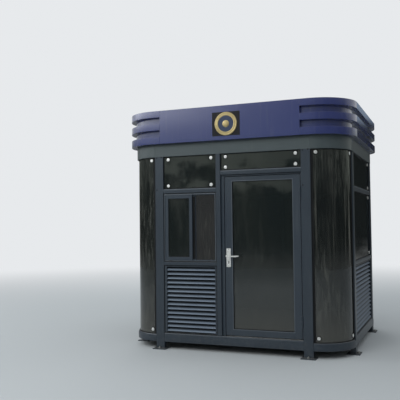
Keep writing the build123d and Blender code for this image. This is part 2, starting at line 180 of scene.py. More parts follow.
class Shader:
    """A Principled material under construction."""

    def __init__(self, name: str) -> None:
        """Starts a material with its surface and output.

        Args:
            name: Name of the material.
        """
        self.material = bpy.data.materials.new(name)
        self.material.use_nodes = True
        self.tree = self.material.node_tree
        self.tree.nodes.clear()
        self.surface = self.tree.nodes.new("ShaderNodeBsdfPrincipled")
        self.end = self.tree.nodes.new("ShaderNodeOutputMaterial")
        self.tree.links.new(self.surface.outputs[0], self.end.inputs["Surface"])

    def node(
        self,
        kind: str,
        settings: Optional[dict[str, Any]] = None,
        inputs: Optional[dict[Any, Any]] = None,
        output: Any = 0,
    ) -> Value:
        """Adds a node, sets it up and feeds its sockets.

        Args:
            kind: The node's type.
            settings: Attributes that are set first, with a ramp's stops under "stops".
            inputs: Values or links by socket name or index.
            output: Name or index of the output that is handed on.

        Returns:
            The chosen output.
        """
        made = self.tree.nodes.new(kind)
        for key, setting in (settings or {}).items():
            if key == "stops":
                self._stops(made, setting)
            else:
                setattr(made, key, setting)
        for key, content in (inputs or {}).items():
            self._feed(made.inputs[key], content)
        return Value(self, made.outputs[output])

    @staticmethod
    def _stops(ramp: bpy.types.Node, stops: list[tuple[float, Color]]) -> None:
        """Sets the stops of a colour ramp.

        Args:
            ramp: The ramp's node.
            stops: Place and colour of each stop, in order.
        """
        elements = ramp.color_ramp.elements
        while len(elements) < len(stops):
            elements.new(1.0)
        for element, (place, color) in zip(elements, stops):
            element.position = place
            element.color = (*color, 1.0)

    def _feed(self, socket: bpy.types.NodeSocket, content: Any) -> None:
        """Links an output to a socket, or sets the socket's own value.

        Args:
            socket: The socket.
            content: A Value to link, or a number, a colour or a vector.
        """
        if isinstance(content, Value):
            self.tree.links.new(content.output, socket)
        elif isinstance(content, tuple) and socket.type == "RGBA":
            socket.default_value = (*content[:3], 1.0)
        else:
            socket.default_value = content

    def set(self, **sockets: Any) -> None:
        """Feeds sockets of the surface, named with underscores for spaces.

        Args:
            sockets: Values or links by socket name.
        """
        for name, content in sockets.items():
            self._feed(self.surface.inputs[name.replace("_", " ")], content)

    def place(self, stretch: Color = (1.0, 1.0, 1.0)) -> Value:
        """Object coordinates, stretched along the axes."""
        coordinates = self.node("ShaderNodeTexCoord", output="Object")
        return self.node("ShaderNodeMapping", None, {"Vector": coordinates, "Scale": stretch})

    def along(self, axis: int) -> Value:
        """Place along the X, Y or Z axis, numbered 0, 1 or 2, in metres."""
        return self.node("ShaderNodeSeparateXYZ", None, {0: self.place()}, axis)

    def height(self) -> Value:
        """Height above the ground in metres."""
        return self.along(2)

    def upward(self) -> Value:
        """How far the surface faces up, from 0 to 1."""
        normal = self.node("ShaderNodeNewGeometry", output="Normal")
        return self.node("ShaderNodeSeparateXYZ", None, {0: normal}, "Z").between(0.2, 0.95)

    def mix(self, factor: Any, low: Any, high: Any) -> Value:
        """Colour between two colours."""
        inputs = {MIX_FACTOR: factor, MIX_LOW: low, MIX_HIGH: high}
        return self.node("ShaderNodeMix", {"data_type": "RGBA"}, inputs, MIX_RESULT)

    def bump(self, relief: Value, depth: float, strength: float) -> Value:
        """Normal from a relief of that depth in metres."""
        inputs = {"Strength": strength, "Distance": depth, "Height": relief}
        return self.node("ShaderNodeBump", None, inputs)


@dataclass(frozen=True)
class Noise:
    """Cloudy noise, cut to a mask where it has limits.

    Attributes:
        scale: Features per metre.
        detail: Octaves.
        rough: Weight of the finer octaves.
        stretch: Extra frequency along each axis.
        limits: What of the noise gives 0 and what gives 1.
    """

    scale: float
    detail: float = 4.0
    rough: float = 0.55
    stretch: Color = (1.0, 1.0, 1.0)
    limits: Optional[Span] = None

    def on(self, shader: Shader) -> Value:
        """Adds the noise to a shader.

        Args:
            shader: The shader.

        Returns:
            The noise or the mask, from 0 to 1.
        """
        inputs = {
            "Vector": shader.place(self.stretch),
            "Scale": self.scale,
            "Detail": self.detail,
            "Roughness": self.rough,
        }
        noise = shader.node("ShaderNodeTexNoise", None, inputs)
        return noise.between(*self.limits) if self.limits else noise


@dataclass(frozen=True)
class PaintedSteel:
    """Sprayed paint on steel that has stood outdoors.

    Attributes:
        name: Name of the material.
        color: The paint.
        faded: The paint where the weather has dulled it.
        roughness: Roughness of clean paint.
        coat: Weight of the clear gloss over it.
        dust: How much dust lies on faces that look up.
        splash: Height in metres that dirt splashes up from the ground.
        grain: Strength of the orange-peel relief.
        weather: Where the paint is dull.
        rain: Streaks that rain leaves.
        grit: Grain of the dust.
        spatter: Spots of the dirt that splashes up.
        peel: The orange-peel relief.
        pores: Finer relief on it.
        lime: Colour of the rain's streaks.
        dirt: Colour of dust and splashed dirt.
    """

    name: str
    color: Color
    faded: Color
    roughness: float = 0.36
    coat: float = 0.1
    dust: float = 0.35
    splash: float = 0.35
    grain: float = 0.3
    weather: ClassVar[Noise] = Noise(1.7)
    rain: ClassVar[Noise] = Noise(4.0, 4.0, 0.6, (6.0, 6.0, 0.3), (0.55, 0.8))
    grit: ClassVar[Noise] = Noise(160.0, 3.0, 0.6, limits=(0.45, 0.7))
    spatter: ClassVar[Noise] = Noise(30.0, 6.0, 0.7, limits=(0.45, 0.75))
    peel: ClassVar[Noise] = Noise(95.0, 3.0, 0.5)
    pores: ClassVar[Noise] = Noise(420.0, 2.0, 0.5)
    lime: ClassVar[Color] = shade(120, 122, 120)
    dirt: ClassVar[Color] = shade(122, 118, 110)

    def paint(self, shader: Shader) -> Value:
        """Colour of the paint, clouded by the weather and streaked by rain.

        Args:
            shader: The shader that it is for.

        Returns:
            The colour.
        """
        dull = self.weather.on(shader).between(0.3, 0.72)
        paint = shader.mix(dull, self.color, self.faded)
        return shader.mix(self.rain.on(shader) * 0.1, paint, self.lime)

    def material(self) -> bpy.types.Material:
        """Builds the paint, with dust on top and dirt splashed up its foot.

        Returns:
            The material.
        """
        shader = Shader(self.name)
        settled = shader.upward() * (0.55 + 0.45 * self.grit.on(shader)) * self.dust
        low = shader.height().between(self.splash, 0.02)
        dirt = settled.high(low * self.spatter.on(shader) * 0.16)
        relief = self.peel.on(shader) + self.pores.on(shader) * 0.3
        shader.set(
            Base_Color=shader.mix(dirt, self.paint(shader), self.dirt),
            Roughness=self.roughness + self.weather.on(shader) * 0.1 + dirt * 0.3,
            Coat_Weight=self.coat * (1.0 - dirt),
            Normal=shader.bump(relief, 0.0003, self.grain),
        )
        shader.set(Coat_Roughness=0.12, Specular_IOR_Level=0.45)
        return shader.material


@dataclass(frozen=True)
class BladePaint(PaintedSteel):
    """Paint of the louvre blades, darkened towards their inner edges by painted shade.

    Attributes:
        lit_depth: Depth behind the wall's face up to which a blade has no painted shade.
        shaded_depth: Depth from which the painted shade darkens it all over.
        painted_shade: Colour of the painted shade.
    """

    lit_depth: float = 0.020
    shaded_depth: float = 0.036
    painted_shade: ClassVar[Color] = shade(13, 18, 25)

    def paint(self, shader: Shader) -> Value:
        """The paint, and the painted shade behind it.

        Args:
            shader: The shader that it is for.

        Returns:
            The colour.
        """
        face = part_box("header_rails")[1]
        depth = (face.x - abs(shader.along(0))).low(face.y - abs(shader.along(1)))
        # Painted shade: darker the deeper the blade lies behind the wall's face, where the blade
        # above shades it.
        cover = depth.between(self.lit_depth, self.shaded_depth) * 0.92
        return shader.mix(cover, PaintedSteel.paint(self, shader), self.painted_shade)


@dataclass(frozen=True)
class TintedGlass:
    """Dark film on glass, with the haze of an unwashed pane, which also paints in soft
    reflections.

    Attributes:
        name: Name of the material.
        color: The film's own colour.
        haze: Colour of the dusty film and of the painted reflections.
        stain: How strongly the rain has marked it.
        alpha: How much of the room behind it the film hides.
        clouds: Where the haze and the painted reflections lie.
        runs: Streaks in the haze and the painted reflections.
        spots: Dried drops.
        drips: Marks that rain leaves.
        patches: Where those marks are.
        lime: Colour of the marks.
        dirt: Colour of the drops and the dirt at its foot.
    """

    name: str
    color: Color
    haze: Color
    stain: float = 0.12
    alpha: float = 0.84
    clouds: ClassVar[Noise] = Noise(1.3, 3.0, 0.5, (1.0, 1.0, 0.7), (0.4, 0.8))
    runs: ClassVar[Noise] = Noise(5.0, 5.0, 0.62, (5.0, 5.0, 0.2), (0.5, 0.85))
    spots: ClassVar[Noise] = Noise(80.0, 3.0, limits=(0.62, 0.8))
    drips: ClassVar[Noise] = Noise(9.0, 6.0, 0.7, (4.0, 4.0, 0.5), (0.47, 0.63))
    patches: ClassVar[Noise] = Noise(1.6, 3.0, 0.6, (1.6, 1.6, 0.6), (0.4, 0.58))
    lime: ClassVar[Color] = shade(88, 90, 84)
    dirt: ClassVar[Color] = shade(112, 109, 98)

    def material(self) -> bpy.types.Material:
        """Builds the glass.

        Returns:
            The material.
        """
        shader = Shader(self.name)
        # Dusty film and painted reflection: clouds and upright streaks of the lighter haze colour.
        haze_and_reflection = self.clouds.on(shader) * 0.5 + self.runs.on(shader) * 0.3
        low = shader.height().between(0.6, 0.15)
        dirt = (low * 0.22).high(self.spots.on(shader) * 0.06)
        marks = self.drips.on(shader) * self.patches.on(shader) * self.stain
        tint = shader.mix(marks, shader.mix(haze_and_reflection, self.color, self.haze), self.lime)
        shader.set(
            Base_Color=shader.mix(dirt, tint, self.dirt),
            Roughness=0.025 + haze_and_reflection * 0.04 + dirt * 0.4 + marks * 0.3,
        )
        shader.set(Alpha=self.alpha, Specular_IOR_Level=0.8)
        return shader.material


@dataclass(frozen=True)
class BrushedSteel:
    """Satin stainless steel, brushed one way.

    Attributes:
        name: Name of the material.
        color: The metal.
        roughness: Its roughness.
        grain: Extra frequency of the brushing along each axis.
        touch: Where hands and weather have dulled it.
    """

    name: str
    color: Color
    roughness: float
    grain: Color
    touch: ClassVar[Noise] = Noise(35.0, 3.0, 0.5, limits=(0.45, 0.75))

    def material(self) -> bpy.types.Material:
        """Builds the steel.

        Returns:
            The material.
        """
        shader = Shader(self.name)
        lines = Noise(60.0, 4.0, 0.6, self.grain).on(shader)
        touched = self.touch.on(shader)
        dull = tuple(part * 0.72 for part in self.color)
        shader.set(
            Base_Color=shader.mix(touched * 0.6, self.color, dull),
            Roughness=self.roughness + lines * 0.12 + touched * 0.1,
            Normal=shader.bump(lines, 0.0002, 0.25),
        )
        shader.set(Metallic=1.0)
        return shader.material


@dataclass(frozen=True)
class DullSurface:
    """Matt board, rubber or sheet with a fine grain.

    Attributes:
        name: Name of the material.
        color: Its colour.
        worn: Its colour where it is rubbed or dusty.
        roughness: Its roughness.
        scale: Features of the grain per metre.
        depth: Depth of the grain in metres.
        rubbed: Where it is rubbed or dusty.
    """

    name: str
    color: Color
    worn: Color
    roughness: float = 0.75
    scale: float = 60.0
    depth: float = 0.0004
    rubbed: ClassVar[Noise] = Noise(3.0, 5.0, 0.6, limits=(0.35, 0.75))

    def material(self) -> bpy.types.Material:
        """Builds the surface.

        Returns:
            The material.
        """
        shader = Shader(self.name)
        grain = Noise(self.scale, 4.0, 0.6).on(shader)
        wear = self.rubbed.on(shader) * 0.6 + grain.between(0.5, 0.75) * 0.3
        shader.set(
            Base_Color=shader.mix(wear, self.color, self.worn),
            Roughness=self.roughness + grain * 0.12,
            Normal=shader.bump(grain, self.depth, 0.5),
        )
        shader.set(Specular_IOR_Level=0.22)
        return shader.material


class Finish(Enum):
    """The booth's finishes."""

    FRAME = PaintedSteel("frame_slate_paint", shade(36, 46, 56), shade(42, 52, 61))
    HEADER = PaintedSteel("header_grey_paint", shade(62, 72, 75), shade(68, 77, 79), coat=0.2)
    DOOR = PaintedSteel("door_slate_paint", shade(40, 50, 61), shade(46, 56, 65))
    # Lighter slate on strips and lips: a painted highlight along their edges.
    TRIM = PaintedSteel("trim_slate_paint", shade(78, 86, 94), shade(84, 91, 98))
    FASCIA = PaintedSteel(
        "fascia_indigo_paint",
        shade(30, 41, 98),
        shade(35, 46, 101),
        roughness=0.17,
        coat=0.9,
        dust=0.4,
        splash=0.05,
        grain=0.02,
    )
    FOOT = PaintedSteel(
        "foot_dusty_paint",
        shade(56, 62, 66),
        shade(86, 86, 84),
        roughness=0.6,
        coat=0.0,
        dust=0.85,
    )
    # Blade paint lighter than the frame's, partly painted light on the up-facing blades;
    # BladePaint darkens their backs with painted shade.
    BLADE = BladePaint(
        "louvre_blue_grey_paint", shade(105, 119, 135), shade(113, 126, 140), dust=0.1
    )
    # The haze of both glasses is dusty film and painted reflection together.
    GLASS = TintedGlass("tinted_film_glass", shade(30, 36, 36), shade(44, 48, 44))
    BENT_GLASS = TintedGlass("stained_film_glass", shade(28, 32, 32), shade(47, 50, 46), 0.55)
    STEEL = BrushedSteel("satin_stainless", (0.84, 0.84, 0.82), 0.36, (1.0, 1.0, 14.0))
    ZINC = BrushedSteel("zinc_fixings", (0.42, 0.42, 0.4), 0.42, (3.0, 3.0, 3.0))
    BRASS = BrushedSteel("dull_brass", (0.5, 0.4, 0.2), 0.34, (6.0, 1.0, 6.0))
    RUBBER = DullSurface("black_seal", shade(16, 17, 19), shade(28, 29, 30), 0.6, 120.0, 0.0003)
    PLATE = DullSurface("black_plate", shade(20, 20, 24), shade(30, 30, 34), 0.35, 90.0, 0.0002)
    ENAMEL = DullSurface("slate_enamel", shade(52, 62, 84), shade(64, 74, 94), 0.3, 60.0, 0.0002)
    BOARD = DullSurface("grey_lining", shade(122, 124, 120), shade(104, 104, 98))
    FLOOR = DullSurface("worn_floor", shade(84, 84, 82), shade(108, 104, 98), 0.7, 45.0, 0.001)
    ROOF = DullSurface("dusty_roof_sheet", shade(104, 108, 110), shade(134, 130, 122), 0.7)

    def material(self) -> bpy.types.Material:
        """The finish's material, built once."""
        return bpy.data.materials.get(self.value.name) or self.value.material()

    def dress(self, piece: Object) -> None:
        """Puts the finish on a whole piece."""
        piece.data.materials.clear()
        piece.data.materials.append(self.material())


class Bench:
    """Modelling by operators, on one object at a time."""

    @staticmethod
    def only(*pieces: Object) -> None:
        """Selects these pieces and nothing else, the first one active.

        Args:
            pieces: The pieces.
        """
        if bpy.context.object and bpy.context.object.mode != "OBJECT":
            bpy.ops.object.mode_set(mode="OBJECT")
        bpy.ops.object.select_all(action="DESELECT")
        for piece in pieces:
            piece.select_set(True)
        bpy.context.view_layer.objects.active = pieces[0]

    @staticmethod
    def open_up(piece: Object) -> None:
        """Starts to edit a piece, with all of it selected."""
        Bench.only(piece)
        bpy.ops.object.mode_set(mode="EDIT")
        bpy.ops.mesh.select_all(action="SELECT")

    @staticmethod
    def freeze(piece: Object) -> Object:
        """Moves a piece's place, turn and scale into its mesh."""
        Bench.only(piece)
        bpy.ops.object.transform_apply(location=True, rotation=True, scale=True)
        return piece

    @staticmethod
    def moved(piece: Object, matrix: Matrix) -> Object:
        """Moves a piece by a matrix, into its mesh."""
        piece.matrix_world = matrix
        return Bench.freeze(piece)

    @staticmethod
    def pick(test: Test) -> None:
        """Selects faces of the mesh in edit mode by their place and normal.

        Args:
            test: Says of a face's middle and normal whether it is picked.
        """
        bpy.ops.mesh.select_mode(type="FACE")
        bpy.ops.mesh.select_all(action="DESELECT")
        mesh = bmesh.from_edit_mesh(bpy.context.object.data)
        for face in mesh.faces:
            face.select_set(test(face.calc_center_median(), face.normal))
        bmesh.update_edit_mesh(bpy.context.object.data)

    @staticmethod
    def ease(piece: Object, width: float, segments: int = 2, angle: float = SHARP) -> Object:
        """Rounds a piece's sharp edges.

        Args:
            piece: The piece.
            width: Width of the rounding in metres.
            segments: Faces across it.
            angle: Edges sharper than this many degrees are rounded.

        Returns:
            The same piece.
        """
        Bench.only(piece)
        rounding = piece.modifiers.new("easing", "BEVEL")
        rounding.width = width
        rounding.segments = segments
        rounding.limit_method = "ANGLE"
        rounding.angle_limit = math.radians(angle)
        rounding.use_clamp_overlap = True
        bpy.ops.object.modifier_apply(modifier=rounding.name)
        bpy.ops.object.shade_smooth_by_angle(angle=math.radians(angle))
        flats = piece.modifiers.new("flats", "WEIGHTED_NORMAL")
        flats.keep_sharp = True
        bpy.ops.object.modifier_apply(modifier=flats.name)
        return piece

    @staticmethod
    def block(name: str, low: Point, high: Point) -> Object:
        """Starts a piece as a block between two corners.

        Args:
            name: The piece's name.
            low: Lowest corner.
            high: Highest corner.

        Returns:
            The block, at the origin with its place in its mesh.
        """
        low, high = Vector(low), Vector(high)
        bpy.ops.object.select_all(action="DESELECT")
        bpy.ops.mesh.primitive_cube_add(size=1.0, location=(low + high) / 2)
        piece = bpy.context.object
        piece.name = name
        piece.scale = high - low
        return Bench.freeze(piece)

    @staticmethod
    def border(name: str, low: Point, high: Point, bars: tuple[float, ...]) -> Object:
        """Rectangular frame in a wall's elevation, cut out of a block.

        Args:
            name: The piece's name.
            low: Lowest corner of the whole frame.
            high: Highest corner of the whole frame.
            bars: Widths of the left, right, bottom and top bars.

        Returns:
            The frame.
        """
        piece = Bench.block(name, low, high)
        left, right = low[0] + bars[0], high[0] - bars[1]
        bottom, top = low[2] + bars[2], high[2] - bars[3]
        Bench.open_up(piece)
        cuts = ((left, (1, 0, 0)), (right, (1, 0, 0)), (bottom, (0, 0, 1)), (top, (0, 0, 1)))
        for place, normal in cuts:
            bpy.ops.mesh.select_all(action="SELECT")
            bpy.ops.mesh.bisect(plane_co=Vector(normal) * place, plane_no=normal)
        Bench.pick(
            lambda middle, normal: abs(normal.y) > 0.9
            and left < middle.x < right
            and bottom < middle.z < top
        )
        bpy.ops.mesh.bridge_edge_loops()
        bpy.ops.object.mode_set(mode="OBJECT")
        return piece

    @staticmethod
    def inset(piece: Object, facing: Point, width: float, depth: float) -> Object:
        """Insets the faces that look one way, and raises or sinks what is inside.

        Args:
            piece: The piece.
            facing: The way they look.
            width: Width of the rim in metres.
            depth: How far the inside rises, or sinks where it is negative.

        Returns:
            The same piece.
        """
        Bench.open_up(piece)
        Bench.pick(lambda middle, normal: normal.dot(Vector(facing)) > 0.9)
        bpy.ops.mesh.inset(thickness=width, depth=depth)
        bpy.ops.object.mode_set(mode="OBJECT")
        return piece

    @staticmethod
    def line(name: str, points: list[Point]) -> Object:
        """Open line of edges through the points, drawn by extruding one point.

        Args:
            name: The piece's name.
            points: The points in order.

        Returns:
            The line.
        """
        bpy.ops.object.select_all(action="DESELECT")
        bpy.ops.mesh.primitive_plane_add(size=0.01, location=points[0])
        piece = bpy.context.object
        piece.name = name
        bpy.ops.object.mode_set(mode="EDIT")
        bpy.ops.mesh.select_mode(type="VERT")
        bpy.ops.mesh.select_all(action="SELECT")
        bpy.ops.mesh.merge(type="CENTER")
        for start, end in zip(points, points[1:]):
            bpy.ops.mesh.extrude_region_move(
                TRANSFORM_OT_translate={"value": Vector(end) - Vector(start)}
            )
        bpy.ops.object.mode_set(mode="OBJECT")
        return Bench.freeze(piece)

    @staticmethod
    def prism(name: str, outline: list[Point], run: Point) -> Object:
        """Solid of one outline, drawn out along a run.

        Args:
            name: The piece's name.
            outline: Corners of the outline, in order.
            run: Vector from its first end to its last.

        Returns:
            The solid.
        """
        piece = Bench.line(name, outline)
        Bench.open_up(piece)
        bpy.ops.mesh.edge_face_add()
        bpy.ops.mesh.extrude_region_move(TRANSFORM_OT_translate={"value": Vector(run)})
        bpy.ops.mesh.select_all(action="SELECT")
        bpy.ops.mesh.normals_make_consistent(inside=False)
        bpy.ops.object.mode_set(mode="OBJECT")
        return piece

    @staticmethod
    def turned(name: str, outline: Outline, angle: float = 360.0, steps: int = 32) -> Object:
        """Solid turned about the upright axis from an outline in radius and height.

        Args:
            name: The piece's name.
            outline: Radius and height of each corner, in order.
            angle: How far the outline is turned, in degrees.
            steps: Number of steps.

        Returns:
            The solid. A part turn closes the outline and starts on the X axis.
        """
        piece = Bench.line(name, [(radius, 0.0, height) for radius, height in outline])
        Bench.open_up(piece)
        if angle < 360.0:
            bpy.ops.mesh.edge_face_add()
        bpy.ops.mesh.spin(
            steps=steps, angle=math.radians(angle), center=(0, 0, 0), axis=(0, 0, -1)
        )
        bpy.ops.mesh.select_all(action="SELECT")
        bpy.ops.mesh.remove_doubles(threshold=1e-6)
        bpy.ops.mesh.normals_make_consistent(inside=False)
        bpy.ops.object.mode_set(mode="OBJECT")
        bpy.ops.object.shade_smooth_by_angle(angle=math.radians(SHARP))
        return piece

    @staticmethod
    def disc(radius: float, height: float, rim: Span, foot: float = 0.0) -> Outline:
        """Outline of a disc with a chamfered rim, to be turned.

        Args:
            radius: The disc's radius.
            height: Height of its top.
            rim: Width and height of the chamfer.
            foot: Height of its foot, under zero where it is let in.

        Returns:
            Radius and height of each corner, from its axis to its axis.
        """
        side = [(radius, foot), (radius, height - rim[1]), (radius - rim[0], height)]
        return [(0.0, foot), *side, (0.0, height)]

    @staticmethod
    def copies(piece: Object, matrices: list[Matrix]) -> list[Object]:
        """Copies of a piece, each with its own mesh, one at each matrix.

        Args:
            piece: The piece, which becomes the first of them.
            matrices: Where they go.

        Returns:
            The pieces.
        """
        twins = [piece]
        for number in range(1, len(matrices)):
            twin = piece.copy()
            twin.data = piece.data.copy()
            twin.name = f"{piece.name}_{number}"
            bpy.context.scene.collection.objects.link(twin)
            twins.append(twin)
        return [Bench.moved(twin, matrix) for twin, matrix in zip(twins, matrices)]

    @staticmethod
    def join(name: str, pieces: list[Object]) -> Object:
        """Joins pieces into one.

        Args:
            name: Name of the whole.
            pieces: The pieces.

        Returns:
            The whole.
        """
        Bench.only(*pieces)
        if len(pieces) > 1:
            bpy.ops.object.join()
        bpy.context.object.name = name
        return bpy.context.object

    @staticmethod
    def fittings(name: str, outline: Outline, steps: int, places: list[Matrix]) -> Object:
        """Turns one small fitting and puts copies of it at every place.

        Args:
            name: Name of all of them together.
            outline: Radius and height of each corner, from its axis to its axis.
            steps: Number of steps.
            places: Where they go.

        Returns:
            The fittings, as one piece.
        """
        return Bench.join(name, Bench.copies(Bench.turned("one", outline, steps=steps), places))

    @staticmethod
    def twin(node: str) -> Object:
        """Merged and cleaned copy of a CAD part, for shaping.

        Args:
            node: The part.

        Returns:
            The copy.
        """
        source = bpy.data.objects[node]
        piece = source.copy()
        piece.data = source.data.copy()
        piece.name = f"shown_{node}"
        bpy.context.scene.collection.objects.link(piece)
        piece.parent = None
        for key in list(piece.keys()):
            del piece[key]
        Bench.open_up(piece)
        bpy.ops.mesh.remove_doubles(threshold=1e-5)
        bpy.ops.mesh.dissolve_limited(angle_limit=math.radians(1.0))
        bpy.ops.object.mode_set(mode="OBJECT")
        return piece

    @staticmethod
    def show(
        piece: Object, finish: Finish, slot: str, body: str = "root", replaces: str = ""
    ) -> None:
        """Dresses a finished piece and fixes it to a body.

        Args:
            piece: The piece.
            finish: Its finish.
            slot: The material slot that it stands for. Not used.
            body: The body that it rides on.
            replaces: The CAD part that it stands for, if it does.
        """
        finish.dress(piece)
        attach(piece, body)
        if replaces:
            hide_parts(replaces)
        log.info("built %s", piece.name)


@dataclass(frozen=True)
class Wall:
    """One side of the booth. Its pieces are modelled as on the front and turned into place.

    On a wall, X runs along it, Y inwards from its face, and Z up.

    Attributes:
        name: Name of the side.
        turn: Degrees from the front, about the upright axis.
        reach: Distance of its face from the middle of the booth.
    """

    name: str
    turn: float
    reach: float

    @property
    def matrix(self) -> Matrix:
        """From the wall's own place to the booth."""
        turn = Matrix.Rotation(math.radians(self.turn), 4, "Z")
        return turn @ Matrix.Translation((0.0, -self.reach, 0.0))


@dataclass(frozen=True)
class Corner:
    """One round corner. Its pieces are modelled as a quarter turn from the X axis.

    Attributes:
        name: Name of the corner.
        start: Degrees at which its quarter begins.
        centre: Its centre.
    """

    name: str
    start: float
    centre: tuple[float, float, float]

    @property
    def matrix(self) -> Matrix:
        """From the quarter's own place to the booth."""
        turn = Matrix.Rotation(math.radians(self.start), 4, "Z")
        return Matrix.Translation(self.centre) @ turn


@dataclass(frozen=True)
class Bay:
    """An opening between posts and rails of a wall.

    Attributes:
        wall: The wall.
        left: Its left edge on the wall.
        right: Its right edge.
        low: Its lower edge.
        high: Its upper edge.
    """

    wall: Wall
    left: float
    right: float
    low: float
    high: float

    def filled(self, near: float, far: float, inset: float = 0.0) -> tuple[Point, Point]:
        """Corners of a block that fills the bay.

        Args:
            near: Depth of its outer face behind the wall's face.
            far: Depth of its inner face.
            inset: Distance from the bay's edges.

        Returns:
            Its lowest and its highest corner.
        """
        lowest = (self.left + inset, near, self.low + inset)
        return lowest, (self.right - inset, far, self.high - inset)


@dataclass
class Body:
    """The booth's walls, corners and bays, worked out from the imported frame.

    Attributes:
        setback: How far the fixed glass stands behind the wall faces.
        front: The front wall. The other walls are named in the same way.
        corners: The round corners, the front ones first.
        sill: Height of the top of the base rails.
        corner_low: Height of the foot of the bent glass.
        header_low: Height of the underside of the header.
        radius: Radius of the corners at the wall faces.
        window_bay: The sliding window's bay.
        door_bay: The door's bay.
        louvre_bays: The bays with louvres.
        glass_bays: The bays with fixed flat glass.
    """

    setback: float = 0.020
    front: Wall = field(init=False)
    right: Wall = field(init=False)
    back: Wall = field(init=False)
    left: Wall = field(init=False)
    corners: list[Corner] = field(init=False)
    sill: float = field(init=False)
    corner_low: float = field(init=False)
    header_low: float = field(init=False)
    radius: float = field(init=False)
    window_bay: Bay = field(init=False)
    door_bay: Bay = field(init=False)
    louvre_bays: list[Bay] = field(init=False)
    glass_bays: list[Bay] = field(init=False)

    def __post_init__(self) -> None:
        """Reads the sizes from the parts."""
        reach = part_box("header_rails")[1]
        self.front = Wall("front", 0.0, reach.y)
        self.right = Wall("right", 90.0, reach.x)
        self.back = Wall("back", 180.0, reach.y)
        self.left = Wall("left", 270.0, reach.x)
        centre_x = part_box("fascia_back")[1].x
        centre_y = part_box("fascia_left")[1].y
        self.radius = reach.x - centre_x
        self.corners = [
            Corner("front_right", 270.0, (centre_x, -centre_y, 0.0)),
            Corner("front_left", 180.0, (-centre_x, -centre_y, 0.0)),
            Corner("back_right", 0.0, (centre_x, centre_y, 0.0)),
            Corner("back_left", 90.0, (-centre_x, centre_y, 0.0)),
        ]
        self._bays()

    def _bays(self) -> None:
        """Sets the heights of the rails and the bays between them."""
        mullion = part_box("mullion_front")
        self.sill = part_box("base_rails")[1].z
        self.corner_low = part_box("corner_glass_front")[0].z
        self.header_low = mullion[1].z
        dado, window_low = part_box("mid_rails")[0].z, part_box("mid_rails")[1].z
        window_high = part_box("window_frame")[1].z
        light_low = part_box("transom_glass_sides")[0].z
        door_high, door_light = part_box("door_frame")[1].z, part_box("transom_rails")[1].z
        post_x = -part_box("window_frame")[0].x
        post_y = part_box("window_glass_sides")[1].y
        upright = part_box("mullion_back")[1].x
        window = (-post_x, mullion[0].x)
        door = (mullion[1].x, post_x)
        side = (-post_y, post_y)
        others = [(self.right, side), (self.left, side)]
        others += [(self.back, (-post_x, -upright)), (self.back, (upright, post_x))]
        self.window_bay = Bay(self.front, *window, window_low, window_high)
        self.door_bay = Bay(self.front, *door, self.sill, door_high)
        self.louvre_bays = [
            Bay(wall, *edges, self.sill, dado) for wall, edges in [(self.front, window)] + others
        ]
        self.glass_bays = [
            Bay(self.front, *window, light_low, self.header_low),
            Bay(self.front, *door, door_light, self.header_low),
        ]
        for wall, edges in others:
            self.glass_bays.append(Bay(wall, *edges, light_low, self.header_low))
            self.glass_bays.append(Bay(wall, *edges, window_low, window_high))

    def walls(self) -> list[Wall]:
        """The four walls."""
        return [self.front, self.right, self.back, self.left]


@dataclass
class EasedParts:
    """CAD parts shown as copies with soft edges.

    Attributes:
        finish: The finish they share.
        nodes: The parts.
        width: Width of the rounding in metres.
        slot: The material slot they stand for.
        body: The body they ride on.
    """

    finish: Finish
    nodes: list[str]
    width: float
    slot: str
    body: str = "root"

    def build(self) -> None:
        """Builds and shows every copy."""
        for node in self.nodes:
            piece = Bench.ease(Bench.twin(node), self.width)
            Bench.show(piece, self.finish, self.slot, self.body, node)


